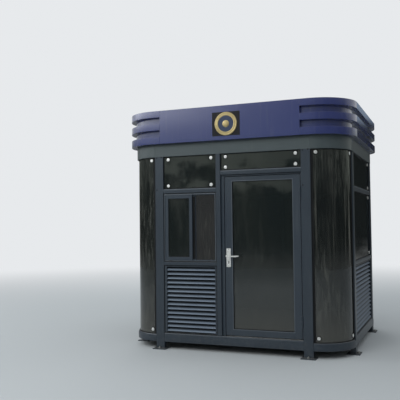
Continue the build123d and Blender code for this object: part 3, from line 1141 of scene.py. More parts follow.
@dataclass
class Glazing:
    """Bent corner glass, dark seals round the fixed panes that also paint the shade at their
    edges, trim under the upper ones painted lighter as a highlight, and buttons.

    Attributes:
        booth: The booth's sizes.
        thickness: Thickness of the glass.
        bead: Width of the seal round a flat pane.
        proud: How far a seal stands out from the glass.
        facet: Degrees that one facet of the bent glass turns.
        strip: Degrees of the bent glass that a dark strip covers beside each post, a seal that
            also paints the shade of the gap there.
        strip_in: How far such a strip stands in from the glass.
        strip_out: How far it stands out from the seals.
        trim_edges: Distances of the trim's edges below an upper pane.
        trim_proud: How far the trim stands out from the wall's face.
        trim_air: Gap between the trim's end and the post.
        button_radius: Radius of a steel button.
        dimple: Radius of the dimple in it.
        washer_radius: Radius of the dark washer under it.
        along: Distance of a button from the edge of a flat pane.
        up: Distance of a button from the top or bottom of a pane.
        foot_up: Distance of the lowest buttons from the foot of a bent pane.
        bent_turn: Degrees from the edge of a bent pane to its buttons.
    """

    booth: Body
    thickness: float = 0.010
    bead: float = 0.009
    proud: float = 0.005
    facet: float = 1.8
    strip: float = 3.9
    strip_in: float = 0.004
    strip_out: float = 0.003
    trim_edges: Span = (0.003, 0.013)
    trim_proud: float = 0.002
    trim_air: float = 0.002
    button_radius: float = 0.019
    dimple: float = 0.006
    washer_radius: float = 0.027
    along: float = 0.060
    up: float = 0.036
    foot_up: float = 0.048
    bent_turn: float = 8.6

    def build(self) -> None:
        """Builds the glass, the seals, the trim and the buttons."""
        self._bent_glass()
        self._bent_seals_and_shade()
        self._flat_seals_and_shade()
        self._trim()
        self._buttons()

    @property
    def outer(self) -> float:
        """Outer radius of the bent glass."""
        return self.booth.radius - self.booth.setback

    def _quarter(self, name: str, span: tuple[float, ...], turn: Span) -> Object:
        """Piece of a quarter ring.

        Args:
            name: The piece's name.
            span: Inner radius, outer radius, lower and upper edge.
            turn: Degrees from the quarter's start at which it begins and ends.

        Returns:
            The piece, on a quarter that begins at the X axis.
        """
        inner, outer, low, high = span
        sweep = turn[1] - turn[0]
        outline = [(inner, low), (outer, low), (outer, high), (inner, high)]
        piece = Bench.turned(name, outline, sweep, max(2, round(sweep / self.facet)))
        return Bench.moved(piece, Matrix.Rotation(math.radians(turn[0]), 4, "Z"))

    def _bent_glass(self) -> None:
        """Bends the corner panes."""
        low, high = self.booth.corner_low, self.booth.header_low
        span = (self.outer - self.thickness, self.outer, low, high)
        corners = self.booth.corners
        for side, pair in (("front", corners[:2]), ("back", corners[2:])):
            panes = [
                Bench.moved(self._quarter("bent_pane", span, (0, 90)), corner.matrix)
                for corner in pair
            ]
            glass = Bench.join(f"bent_glass_{side}", panes)
            Bench.show(glass, Finish.BENT_GLASS, "tinted_glass", "root", f"corner_glass_{side}")

    def _bent_seals_and_shade(self) -> None:
        """Lays the seals of the bent panes and the dark strips beside the posts, which also paint
        the shade of the gap there.
        """
        low, high = self.booth.corner_low, self.booth.header_low
        inner, rim = self.outer - SUNK, self.outer + self.proud
        skin = (self.outer - self.thickness - self.strip_in, rim + self.strip_out, low, high)
        spans = (
            (skin, (0, self.strip)),
            (skin, (90 - self.strip, 90)),
            ((inner, rim, low, low + self.bead), (0, 90)),
            ((inner, rim, high - self.bead, high), (0, 90)),
        )
        # Seals and dark strips: partly painted shade at the posts and the pane edges.
        for corner in self.booth.corners:
            strips = [self._quarter("strip", span, turn) for span, turn in spans]
            seal = Bench.join(f"bent_glass_seal_{corner.name}", strips)
            Bench.show(Bench.moved(seal, corner.matrix), Finish.RUBBER, "tinted_glass")

    def _flat_seals_and_shade(self) -> None:
        """Lays a dark seal round the outer face of each flat pane, which also paints the shadow
        line at its edges.
        """
        face = self.booth.setback
        for wall in self.booth.walls():
            # Dark seals: real seals, and painted shade along each pane's edge.
            seals = [
                Bench.border("seal", *bay.filled(face - self.proud, face + SUNK), (self.bead,) * 4)
                for bay in self.booth.glass_bays
                if bay.wall == wall
            ]
            seal = Bench.ease(Bench.join(f"pane_seals_{wall.name}", seals), 0.0015)
            Bench.show(Bench.moved(seal, wall.matrix), Finish.RUBBER, "tinted_glass")

    def _trim(self) -> None:
        """Slim strips along the top of the bars under the upper panes, painted lighter than the
        frame as a painted highlight.
        """
        near, far = self.trim_edges
        for wall in self.booth.walls():
            strips = [
                Bench.block(
                    "strip",
                    (bay.left + self.trim_air, -self.trim_proud, bay.low - far),
                    (bay.right - self.trim_air, SUNK, bay.low - near),
                )
                for bay in self.booth.glass_bays
                if bay.wall == wall and bay.high == self.booth.header_low
            ]
            trim = Bench.ease(Bench.join(f"transom_trim_{wall.name}", strips), 0.0012)
            Bench.show(Bench.moved(trim, wall.matrix), Finish.TRIM, "frame_paint")

    def _flat_places(self, wall: Wall) -> list[Matrix]:
        """Where the buttons of a wall's panes stand.

        Args:
            wall: The wall.

        Returns:
            Their places, pointing outwards.
        """
        return [
            wall.matrix @ Matrix.Translation((x, self.booth.setback, z)) @ OUTWARD
            for bay in self.booth.glass_bays
            if bay.wall == wall
            for x in (bay.left + self.along, bay.right - self.along)
            for z in (bay.low + self.up, bay.high - self.up)
        ]

    def _bent_places(self, corner: Corner) -> list[Matrix]:
        """Where the buttons of a bent pane stand.

        Args:
            corner: The corner.

        Returns:
            Their places, pointing outwards.
        """
        out = Matrix.Rotation(math.radians(90.0), 4, "Y")
        return [
            corner.matrix
            @ Matrix.Rotation(math.radians(turn), 4, "Z")
            @ Matrix.Translation((self.outer, 0.0, z))
            @ out
            for turn in (self.bent_turn, 90.0 - self.bent_turn)
            for z in (self.booth.corner_low + self.foot_up, self.booth.header_low - self.up)
        ]

    def _buttons(self) -> None:
        """Dimpled steel buttons with dark washers under them."""
        sets = [(wall.name, self._flat_places(wall)) for wall in self.booth.walls()]
        sets += [(corner.name, self._bent_places(corner)) for corner in self.booth.corners]
        rim, dimple = self.button_radius, self.dimple
        button = [(0.0, 0.0015), (rim, 0.0015), (rim, 0.0055), (rim - 0.0015, 0.0070)]
        button += [(dimple + 0.0005, 0.0075), (dimple, 0.0050), (0.0, 0.0050)]
        ring = Bench.disc(self.washer_radius, 0.0018, (0.002, 0.0008), -TOUCH)
        for name, places in sets:
            discs = Bench.fittings(f"glass_buttons_{name}", button, 28, places)
            Bench.show(discs, Finish.STEEL, "stainless")
            washers = Bench.fittings(f"button_washers_{name}", ring, 28, places)
            Bench.show(washers, Finish.RUBBER, "tinted_glass")


@dataclass
class Louvres:
    """Folded blades in a slate frame, with dark seals round it and black fly screens behind, both
    also painted shade.

    Attributes:
        booth: The booth's sizes.
        setback: How far the frame stands behind the wall face.
        depth: Depth of the frame.
        bars: Widths of the left, right, bottom and top bars.
        gasket: Width of the seal round the frame, which also paints its shadow line.
        gasket_proud: How far the seal stands out from the frame.
        screen: Thickness of the black fly screen in front of the frame's back, which paints the
            shade in the gaps between the blades.
        screen_inset: Distance of a fly screen from the bay's edges.
        pitch: Height from one blade to the next.
        rise: Height that a blade climbs.
        run: Depth that it crosses.
        sheet: Thickness of its sheet, measured upright.
        lip: Drop of the lip at its outer edge.
    """

    booth: Body
    setback: float = 0.008
    depth: float = 0.040
    bars: tuple[float, ...] = (0.036, 0.024, 0.010, 0.0185)
    gasket: float = 0.009
    gasket_proud: float = 0.0012
    screen: float = 0.0005
    screen_inset: float = 0.006
    pitch: float = 0.0491
    rise: float = 0.031
    run: float = 0.032
    sheet: float = 0.003
    lip: float = 0.004

    @property
    def back(self) -> float:
        """Depth of the frame's back behind the wall face."""
        return self.setback + self.depth

    def build(self) -> None:
        """Builds the panels of every wall."""
        for wall in self.booth.walls():
            bays = [bay for bay in self.booth.louvre_bays if bay.wall == wall]
            node = f"louvre_{wall.name}"
            frames = [
                Bench.border("frame", *bay.filled(self.setback, self.back), self.bars)
                for bay in bays
            ]
            frame = Bench.moved(Bench.join(f"louvre_frame_{wall.name}", frames), wall.matrix)
            Bench.show(Bench.ease(frame, 0.0015), Finish.FRAME, "louvre_paint", "root", node)
            blades = Bench.join(f"louvre_blades_{wall.name}", [self._blades(bay) for bay in bays])
            Bench.ease(Bench.moved(blades, wall.matrix), 0.0005, 1)
            Bench.show(blades, Finish.BLADE, "louvre_paint", "root", node)
            self._backing(wall, bays)

    def _backing(self, wall: Wall, bays: list[Bay]) -> None:
        """Seals round the frames of a wall, and the black fly screens behind their blades: dark as
        real seals and screens, and as painted shade round the frames and between the blades.

        Args:
            wall: The wall.
            bays: Its bays with louvres.
        """
        face, back = self.setback, self.back
        parts = [
            Bench.border(
                "seal", *bay.filled(face - self.gasket_proud, face + SUNK), (self.gasket,) * 4
            )
            for bay in bays
        ]
        # Black screens behind the blades: painted shade in the gaps between them.
        parts += [
            Bench.block("screen", *bay.filled(back - self.screen, back + SUNK, self.screen_inset))
            for bay in bays
        ]
        seals = Bench.ease(Bench.join(f"louvre_seals_{wall.name}", parts), 0.0004, 1)
        Bench.show(Bench.moved(seals, wall.matrix), Finish.RUBBER, "louvre_paint")

    def _blades(self, bay: Bay) -> Object:
        """One folded blade, repeated down the panel.

        Args:
            bay: The panel's bay.

        Returns:
            The blades.
        """
        left, right, bottom, top = self.bars
        low, high = bay.low + bottom, bay.high - top
        air = self.pitch - self.rise - self.lip
        upper = high - air / 2
        foot = upper - self.rise
        inner = self.setback + (self.depth + self.run) / 2
        outer = inner - self.run
        fold = outer + self.sheet * 0.7
        start = bay.left + left
        outline = [
            (start, inner, upper),
            (start, outer, foot),
            (start, outer, foot - self.lip),
            (start, fold, foot - self.lip),
            (start, fold, foot - self.sheet * 0.4),
            (start, inner, upper - self.sheet),
        ]
        blade = Bench.prism("blade", outline, (bay.right - right - start, 0.0, 0.0))
        Bench.only(blade)
        rows = blade.modifiers.new("rows", "ARRAY")
        rows.count = int((high - low - self.rise - self.lip) // self.pitch) + 1
        rows.use_relative_offset = False
        rows.use_constant_offset = True
        rows.constant_offset_displace = (0.0, 0.0, -self.pitch)
        bpy.ops.object.modifier_apply(modifier=rows.name)
        return blade


@dataclass
class WindowSet:
    """Sliding window: frame with seal and lip, sashes, pane seals, track, brush and drains.

    Attributes:
        booth: The booth's sizes.
        gasket: Width of the seal between the window's frame and the booth.
        gasket_proud: How far that seal stands out from the frame.
        lip: Widths of the left, right, bottom and top bars of the lip beside it.
        lip_proud: How far the lip stands out from the frame.
        seal: Width of the seal round a pane.
        seal_depths: Depths of a pane seal's faces behind its sash's face.
        meeting: Width of the stile where the sashes meet.
        rib: Height of the ribs on the track.
        rib_width: Width of a rib.
        carrier: How far the carrier at the meeting stile reaches past the panes' ends.
        brush: Distance of the brush from the outer sash's ends.
        pull: Height of the pull.
        latch: Height of the latch.
        drain_in: Distance of a drain from the frame's side.
        drain_up: Height of a drain above the frame's foot.
    """

    booth: Body
    gasket: float = 0.009
    gasket_proud: float = 0.0012
    lip: tuple[float, ...] = (0.005, 0.007, 0.005, 0.011)
    lip_proud: float = 0.0020
    seal: float = 0.005
    seal_depths: Span = (0.0025, 0.0068)
    meeting: float = 0.038
    rib: float = 0.009
    rib_width: float = 0.002
    carrier: float = 0.020
    brush: float = 0.012
    pull: float = 0.110
    latch: float = 0.060
    drain_in: float = 0.09
    drain_up: float = 0.0072

    def build(self) -> None:
        """Builds the window."""
        nodes = ["window_frame", "sash_outer", "sash_inner"]
        EasedParts(Finish.DOOR, nodes, 0.002, "window_paint").build()
        self._edging()
        self._pane_seals()
        self._interlock()
        self._track()
        self._brush()
        self._drains()
        self._pull()

    def _edging(self) -> None:
        """Seal between the window frame and the booth, which also paints the shadow line there,
        and a raised lip beside it, painted lighter as a highlight.
        """
        bay, face = self.booth.window_bay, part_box("window_frame")[0].y
        # Dark seal: partly painted shadow line round the frame.
        rim = bay.filled(face - self.gasket_proud, face + SUNK)
        seal = Bench.border("window_frame_seal_and_shade", *rim, (self.gasket,) * 4)
        Bench.show(Bench.ease(seal, 0.0004, 1), Finish.RUBBER, "window_paint")
        # The lip is painted lighter: a painted highlight beside the frame.
        rim = bay.filled(face - self.lip_proud, face + SUNK, self.gasket)
        lip = Bench.border("window_frame_lip_highlight", *rim, self.lip)
        Bench.show(Bench.ease(lip, 0.0010), Finish.TRIM, "window_paint")

    def _pane_seals(self) -> None:
        """Lays a seal round both panes, on their outer faces."""
        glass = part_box("sash_panes")
        outer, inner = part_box("sash_outer"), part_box("sash_inner")
        stile = glass[0].x - outer[0].x
        near, far = self.seal_depths
        seals = [
            Bench.border(
                "seal",
                (left, face + near, glass[0].z),
                (right, face + far, glass[1].z),
                (self.seal,) * 4,
            )
            for face, left, right in (
                (outer[0].y, glass[0].x, outer[1].x - self.meeting),
                (inner[0].y, inner[0].x + self.meeting, inner[1].x - stile),
            )
        ]
        seal = Bench.ease(Bench.join("sash_pane_seals", seals), 0.001)
        Bench.show(seal, Finish.RUBBER, "window_paint")

    def _interlock(self) -> None:
        """Black brush carrier on the inner sash's stile, beside the outer sash, which also paints
        the shade on that stile.
        """
        outer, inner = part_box("sash_outer"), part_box("sash_inner")
        low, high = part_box("sash_panes")[0].z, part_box("sash_panes")[1].z
        # Black cover: partly brush carrier, partly painted shade on the open sash's stile.
        carrier = Bench.block(
            "sash_interlock_and_shade",
            (outer[1].x - 0.006, inner[0].y - 0.0015, low - self.carrier),
            (inner[1].x - 0.004, inner[0].y + SUNK, high + self.carrier),
        )
        Bench.inset(carrier, (0, -1, 0), 0.004, -0.0008)
        Bench.show(Bench.ease(carrier, 0.0005, 1), Finish.RUBBER, "window_paint")

    def _track(self) -> None:
        """Ribs between the sashes, and beside them on the sill."""
        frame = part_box("window_frame")
        outer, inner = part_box("sash_outer"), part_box("sash_inner")
        thick = self.rib_width
        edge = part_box("mullion_front")[0].x - (outer[0].x - frame[0].x)
        middle = (outer[1].y + inner[0].y) / 2 - thick / 2
        sill = (outer[0].z - TOUCH, outer[0].z + self.rib)
        head = (outer[1].z - self.rib, outer[1].z + TOUCH)
        aside = outer[1].x + 0.002
        ribs = [
            Bench.block("rib", (left, face, low), (edge, face + thick, high))
            for left, face, (low, high) in (
                (outer[0].x, middle, sill),
                (outer[0].x, middle, head),
                (aside, outer[0].y + 0.002, sill),
                (aside, inner[0].y + 0.008, sill),
            )
        ]
        track = Bench.ease(Bench.join("window_track_ribs", ribs), 0.0004, 1)
        Bench.show(track, Finish.DOOR, "window_paint")

    def _brush(self) -> None:
        """Brush between the sashes, at the edge of the outer one."""
        outer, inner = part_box("sash_outer"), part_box("sash_inner")
        brush = Bench.block(
            "window_brush_seal",
            (outer[1].x - 0.012, outer[1].y - TOUCH, outer[0].z + self.brush),
            (outer[1].x - 0.004, inner[0].y + TOUCH, outer[1].z - self.brush),
        )
        Bench.show(Bench.ease(brush, 0.0006, 1), Finish.RUBBER, "window_paint")

    def _drains(self) -> None:
        """Oval drain covers on the bottom of the window frame."""
        low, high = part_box("window_frame")
        oval = Matrix.Diagonal((1.6, 0.5, 1.0, 1.0))
        places = [
            Matrix.Translation((x, low.y, low.z + self.drain_up)) @ OUTWARD @ oval
            for x in (low.x + self.drain_in, high.x - self.drain_in)
        ]
        outline = Bench.disc(0.011, 0.0035, (0.0015, 0.0013))
        covers = Bench.fittings("window_drain_covers", outline, 20, places)
        Bench.show(covers, Finish.RUBBER, "window_paint")

    def _pull(self) -> None:
        """Slim pull on the open sash's front stile, and a latch on the outer sash."""
        inner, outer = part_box("sash_inner"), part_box("sash_outer")
        middle = (inner[0].z + inner[1].z) / 2
        pull = Bench.block(
            "sash_pull",
            (inner[1].x - 0.022, inner[0].y - 0.0025, middle - self.pull / 2),
            (inner[1].x - 0.006, inner[0].y + SUNK, middle + self.pull / 2),
        )
        Bench.inset(pull, (0, -1, 0), 0.003, -0.0015)
        Bench.show(Bench.ease(pull, 0.0006, 1), Finish.RUBBER, "window_paint")
        latch = Bench.block(
            "sash_latch",
            (outer[1].x - 0.028, outer[1].y, middle - self.latch / 2),
            (outer[1].x - 0.014, outer[1].y + 0.002, middle + self.latch / 2),
        )
        Bench.show(Bench.ease(latch, 0.0006, 1), Finish.STEEL, "window_paint")


@dataclass
class DoorSet:
    """Door frame and leaf with seals and stop, the lever, its plates, the lock and hinge screws.

    Attributes:
        booth: The booth's sizes.
        bead: Distance of a glazing bead's face from the middle of the leaf's thickness.
        bite: How far the beads hold the pane's edge.
        seal: Width of the seal round the pane.
        lip: Width of the lip round the pane's opening.
        lip_proud: How far the lip stands out from the leaf.
        stop: How far the stop reaches behind the leaf.
        stop_lap: How far it reaches out from the gap round the leaf.
        stop_air: Gap between the leaf and the stop.
        stop_thick: Thickness of the stop, half of which lies in its carrier.
        air: Gap between the leaf and its frame.
        threshold_ribs: Number of ribs on the threshold.
        screw_radius: Radius of a screw head.
        screw_end: Distance of a plate's screws from its ends.
        key_drop: Distance of the keyhole below the middle of its plate.
        hinge_height: Height of a hinge.
        flap: Thickness of a hinge's flap.
    """

    booth: Body
    bead: float = 0.011
    bite: float = 0.004
    seal: float = 0.005
    lip: float = 0.007
    lip_proud: float = 0.0012
    stop: float = 0.008
    stop_lap: float = 0.012
    stop_air: float = 0.0015
    stop_thick: float = 0.006
    air: float = 0.006
    threshold_ribs: int = 5
    screw_radius: float = 0.0045
    screw_end: float = 0.013
    key_drop: float = 0.042
    hinge_height: float = 0.110
    flap: float = 0.003

    def build(self) -> None:
        """Builds the door."""
        for finish, nodes, width, slot, body in (
            (Finish.DOOR, ["door_frame", "hinge_frame_halves"], 0.0015, "door_paint", "root"),
            (Finish.DOOR, ["door_leaf", "hinge_leaf_halves"], 0.0015, "door_paint", "door"),
            (Finish.STEEL, ["handle_plates"], 0.0015, "stainless", "door"),
            (Finish.STEEL, ["door_lever"], 0.0028, "stainless", "lever"),
        ):
            EasedParts(finish, nodes, width, slot, body).build()
        self._pane_seal()
        self._stop()
        self._threshold()
        self._lock()
        self._hinge_screws()

    def _pane_seal(self) -> None:
        """Lays a seal round the pane on both faces of the leaf, and a lip on the outer one,
        painted lighter as a painted highlight.
        """
        pane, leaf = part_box("door_glass"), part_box("door_leaf")
        middle, reach = (leaf[0].y + leaf[1].y) / 2, self.bead + SUNK
        bite = Vector((self.bite, 0, self.bite))
        low, high = pane[0] + bite, pane[1] - bite
        seals = [
            Bench.border("seal", (low.x, near, low.z), (high.x, far, high.z), (self.seal,) * 4)
            for near, far in ((middle - reach, pane[0].y), (pane[1].y, middle + reach))
        ]
        seal = Bench.ease(Bench.join("door_pane_seals", seals), 0.0015)
        Bench.show(seal, Finish.RUBBER, "door_paint", "door")
        # The lip is painted lighter: a painted highlight round the pane's opening.
        edge, face = self.lip, leaf[0].y
        lip = Bench.border(
            "door_pane_lip_highlight",
            (low.x - edge, face - self.lip_proud, low.z - edge),
            (high.x + edge, face + SUNK, high.z + edge),
            (edge,) * 4,
        )
        Bench.show(Bench.ease(lip, 0.0006), Finish.TRIM, "door_paint", "door")

    def _stop(self) -> None:
        """Soft stop behind the leaf's edges, on a slim carrier inside the frame."""
        frame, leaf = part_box("door_frame"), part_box("door_leaf")
        bay, top = self.booth.door_bay, leaf[1].z + self.air
        left, right = leaf[0].x - self.air, leaf[1].x + self.air
        face, lap, reach = leaf[1].y + self.stop_air, self.stop_lap, self.stop
        stop = Bench.border(
            "door_stop",
            (left - lap, face, self.booth.sill),
            (bay.right - 0.001, face + self.stop_thick, top + lap),
            (lap + reach, bay.right - right + reach, 0.004, lap + reach),
        )
        Bench.show(Bench.ease(stop, 0.001), Finish.RUBBER, "door_paint")
        carrier = Bench.border(
            "door_stop_carrier",
            (bay.left + 0.001, frame[1].y - TOUCH, self.booth.sill),
            (bay.right - TOUCH, face + self.stop_thick / 2, bay.high - 0.001),
            (left - bay.left - 0.004, bay.right - right - 0.002, 0.003, bay.high - top - 0.003),
        )
        Bench.show(Bench.ease(carrier, 0.0008), Finish.DOOR, "door_paint")

    def _threshold(self) -> None:
        """Ribbed metal strip on the sill under the leaf."""
        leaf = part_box("door_leaf")
        front, back = leaf[0].y, leaf[1].y + 0.006
        valley, crest = self.booth.sill + 0.002, self.booth.sill + 0.003
        step = (back - front) / self.threshold_ribs
        section = [(front - 0.004, self.booth.sill), (front - 0.002, valley)]
        for number in range(self.threshold_ribs):
            start = front + number * step
            section += [(start + step * 0.2, crest), (start + step * 0.6, crest)]
            section.append((start + step * 0.8, valley))
        section.append((back + 0.004, self.booth.sill))
        outline = [(leaf[0].x, depth, height) for depth, height in section]
        strip = Bench.prism("door_threshold", outline, (leaf[1].x - leaf[0].x, 0.0, 0.0))
        Bench.show(Bench.ease(strip, 0.0003, 1), Finish.ZINC, "door_paint")

    def _screws(self, name: str, places: list[Matrix]) -> Object:
        """Round-headed screws.

        Args:
            name: Name of all of them together.
            places: Where they go.

        Returns:
            The screws.
        """
        head = self.screw_radius
        outline = [(0.0, 0.0), (head, 0.0), (head * 0.93, 0.0012)]
        outline += [(head * 0.55, 0.0021), (0.0, 0.0024)]
        return Bench.fittings(name, outline, 16, places)

    def _lock(self) -> None:
        """Screws, lock barrel, the slit across it and its tail, on both plates."""
        low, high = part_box("handle_plates")
        middle_x = (low.x + high.x) / 2
        key_z = (low.z + high.z) / 2 - self.key_drop
        turns = ((low.y, OUTWARD), (high.y, OUTWARD.inverted()))
        places = [
            Matrix.Translation((middle_x, face, z)) @ turn
            for face, turn in turns
            for z in (low.z + self.screw_end, high.z - self.screw_end)
        ]
        Bench.show(self._screws("plate_screws", places), Finish.ZINC, "stainless", "door")
        barrel = Bench.disc(0.0085, 0.0022, (0.0007, 0.0006), -SUNK)
        places = [Matrix.Translation((middle_x, face, key_z)) @ turn for face, turn in turns]
        barrels = Bench.fittings("lock_barrels", barrel, 24, places)
        Bench.show(barrels, Finish.ZINC, "stainless", "door")
        slit = (0.0012, 0.0026, -0.0045, 0.0045)
        tail = (0.0045, 0.0008, -0.0230, -0.0085)
        slots = []
        for face, out in ((low.y, -1.0), (high.y, 1.0)):
            for half, proud, foot, top in (slit, tail):
                near, far = sorted((face - out * SUNK, face + out * proud))
                lowest = (middle_x - half, near, key_z + foot)
                slots.append(Bench.block("slot", lowest, (middle_x + half, far, key_z + top)))
        keyhole = Bench.ease(Bench.join("keyholes", slots), 0.0003, 1)
        Bench.show(keyhole, Finish.RUBBER, "stainless", "door")

    def _hinge_screws(self) -> None:
        """Two small screws on each hinge flap."""
        fixed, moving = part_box("hinge_frame_halves"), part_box("hinge_leaf_halves")
        lows = (fixed[0].z, fixed[1].z - self.hinge_height)
        small = Matrix.Scale(0.7, 4)
        for node, body, x, back, ups in (
            ("hinge_frame_halves", "root", fixed[1].x - 0.0035, fixed[1].y, (0.012, 0.042)),
            ("hinge_leaf_halves", "door", moving[0].x + 0.009, moving[1].y, (0.068, 0.098)),
        ):
            places = [
                Matrix.Translation((x, back - self.flap, low + up)) @ OUTWARD @ small
                for low in lows
                for up in ups
            ]
            screws = self._screws(f"{node}_screws", places)
            Bench.show(screws, Finish.DOOR, "door_paint", body)


@dataclass
class Feet:
    """Anchor studs with nuts and washers on the foot plates, and the welds of the posts.

    Attributes:
        booth: The booth's sizes.
        plate: Thickness of a foot plate.
        out: Distance of an anchor from the wall's face.
        washer: Thickness of the washer on a foot plate.
        nut: Height of the nut on it.
        post: Width of a post.
        post_in: Distance of a post's middle from the end of its foot plate.
        weld_count: Number of beads along a post's foot.
        tacks: Places of the tack welds under the header: across the post, and down.
        bar_tack: Place of the tack weld at the transom bar.
    """

    booth: Body
    plate: float = 0.010
    out: float = 0.023
    washer: float = 0.0025
    nut: float = 0.010
    post: float = 0.100
    post_in: float = 0.080
    weld_count: int = 14
    tacks: tuple[Span, ...] = ((-0.030, 0.010), (0.028, 0.004))
    bar_tack: Span = (-0.030, 0.006)

    def build(self) -> None:
        """Builds the anchors and the welds."""
        places = [
            wall.matrix @ Matrix.Translation((side * self._middle(wall), -self.out, self.plate))
            for wall in self.booth.walls()
            for side in (-1.0, 1.0)
        ]
        washer = Bench.disc(0.012, self.washer, (0.0008, 0.0005))
        stud = Bench.disc(0.0058, self.washer + self.nut * 2, (0.001, 0.001))
        parts = [
            Bench.fittings("washers", washer, 24, places),
            Bench.fittings("studs", stud, 16, places),
            *Bench.copies(self._nut(), places),
        ]
        Bench.show(Bench.join("anchor_fixings", parts), Finish.ZINC, "frame_paint")
        self._welds()
        self._tacks()

    def _middle(self, wall: Wall) -> float:
        """Distance of a wall's posts from its middle."""
        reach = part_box(f"posts_{wall.name}")[1]
        return (reach.x if wall.name in ("front", "back") else reach.y) - self.post_in

    def _nut(self) -> Object:
        """Hexagon nut with chamfered corners, on its washer."""
        bpy.ops.object.select_all(action="DESELECT")
        place = (0.0, 0.0, self.washer + self.nut / 2)
        bpy.ops.mesh.primitive_cylinder_add(
            vertices=6, radius=0.0108, depth=self.nut, location=place
        )
        nut = Bench.inset(Bench.freeze(bpy.context.object), (0, 0, 1), 0.0012, 0.0008)
        return Bench.ease(nut, 0.0004, 1, 20.0)

    def _welds(self) -> None:
        """Weld beads along the outer foot of every post, each a little different."""
        lump = [(0.0, -0.004), (0.003, -0.003), (0.0045, 0.0), (0.003, 0.003), (0.0, 0.004)]
        run = self.post - 0.006
        for wall in self.booth.walls():
            places = []
            for middle in (-self._middle(wall), self._middle(wall)):
                for number in range(self.weld_count):
                    x = middle + (number / (self.weld_count - 1) - 0.5) * run
                    tilt = 40.0 + 17.0 * math.sin(5.1 * number)
                    length = 1.0 + 0.2 * math.cos(2.3 * number)
                    places.append(
                        wall.matrix
                        @ Matrix.Translation((x, -TOUCH, self.plate + TOUCH))
                        @ Matrix.Rotation(math.radians(tilt), 4, "X")
                        @ Matrix.Diagonal((1.0, 1.0, length, 1.0))
                    )
            beads = Bench.fittings(f"foot_welds_{wall.name}", lump, 8, places)
            Bench.show(beads, Finish.FOOT, "frame_paint")

    def _tacks(self) -> None:
        """Tack welds where the posts meet the header and the transom bars, black as painted shade
        so that they read as dark marks.
        """
        lump = [(0.0, -SUNK), (0.0085, -SUNK), (0.0075, 0.0012), (0.004, 0.0026), (0.0, 0.003)]
        spots = [(across, self.booth.header_low - down) for across, down in self.tacks]
        spots.append((self.bar_tack[0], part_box("transom_glass_sides")[0].z - self.bar_tack[1]))
        for wall in self.booth.walls():
            places = [
                wall.matrix @ Matrix.Translation((middle + across, 0.0, height)) @ OUTWARD
                for middle in (-self._middle(wall), self._middle(wall))
                for across, height in spots
            ]
            # Black finish: painted shade of each tack.
            tacks = Bench.fittings(f"post_tacks_{wall.name}", lump, 12, places)
            Bench.show(tacks, Finish.RUBBER, "frame_paint")


@dataclass
class Sign:
    """Dark square plate with a plain turned medal, on the flat stretch of the fascia.

    Attributes:
        middle_x: Middle of the plate along the front.
        middle_z: Middle of the plate above the ground.
        width: Width of the plate.
        height: Height of the plate.
        thickness: Thickness of the plate.
        medal_radius: Radius of the medal.
    """

    middle_x: float = -0.006
    middle_z: float = 2.522
    width: float = 0.322
    height: float = 0.264
    thickness: float = 0.0025
    medal_radius: float = 0.129

    def build(self) -> None:
        """Builds the plate and the medal."""
        middle = Vector((self.middle_x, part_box("fascia_front")[0].y, self.middle_z))
        half = Vector((self.width / 2, 0.0, self.height / 2))
        proud = Vector((0, self.thickness, 0))
        plate = Bench.block(
            "sign_plate", middle - half - proud, middle + half + Vector((0, SUNK, 0))
        )
        Bench.show(Bench.ease(plate, 0.001), Finish.PLATE, "fascia_paint")
        place = Matrix.Translation(middle - proud) @ OUTWARD
        parts = [
            Bench.moved(Bench.turned("medal_ring", self._ring(), steps=72), place),
            Bench.moved(Bench.turned("medal_boss", self._boss(), steps=48), place),
        ]
        Bench.show(Bench.join("medal", parts), Finish.BRASS, "fascia_paint")
        rim = self.medal_radius
        bed = [(0.0, -SUNK), (rim * 0.71, -SUNK), (rim * 0.71, 0.0018), (0.0, 0.0024)]
        ground = Bench.moved(Bench.turned("medal_field", bed, steps=48), place)
        Bench.show(ground, Finish.ENAMEL, "fascia_paint")

    def _ring(self) -> Outline:
        """Section of the medal's ring, as radius and height, with two raised bands."""
        section = (
            (0.70, -SUNK),
            (1.00, -SUNK),
            (1.00, 0.0020),
            (0.97, 0.0045),
            (0.90, 0.0050),
            (0.87, 0.0030),
            (0.84, 0.0030),
            (0.81, 0.0055),
            (0.74, 0.0055),
            (0.70, 0.0030),
            (0.70, -SUNK),
        )
        return [(self.medal_radius * part, height) for part, height in section]

    def _boss(self) -> Outline:
        """Section of the domed boss in the medal's middle, as radius and height."""
        section = (
            (0.00, -SUNK),
            (0.30, -SUNK),
            (0.30, 0.0030),
            (0.26, 0.0050),
            (0.12, 0.0062),
            (0.00, 0.0066),
        )
        return [(self.medal_radius * part, height) for part, height in section]


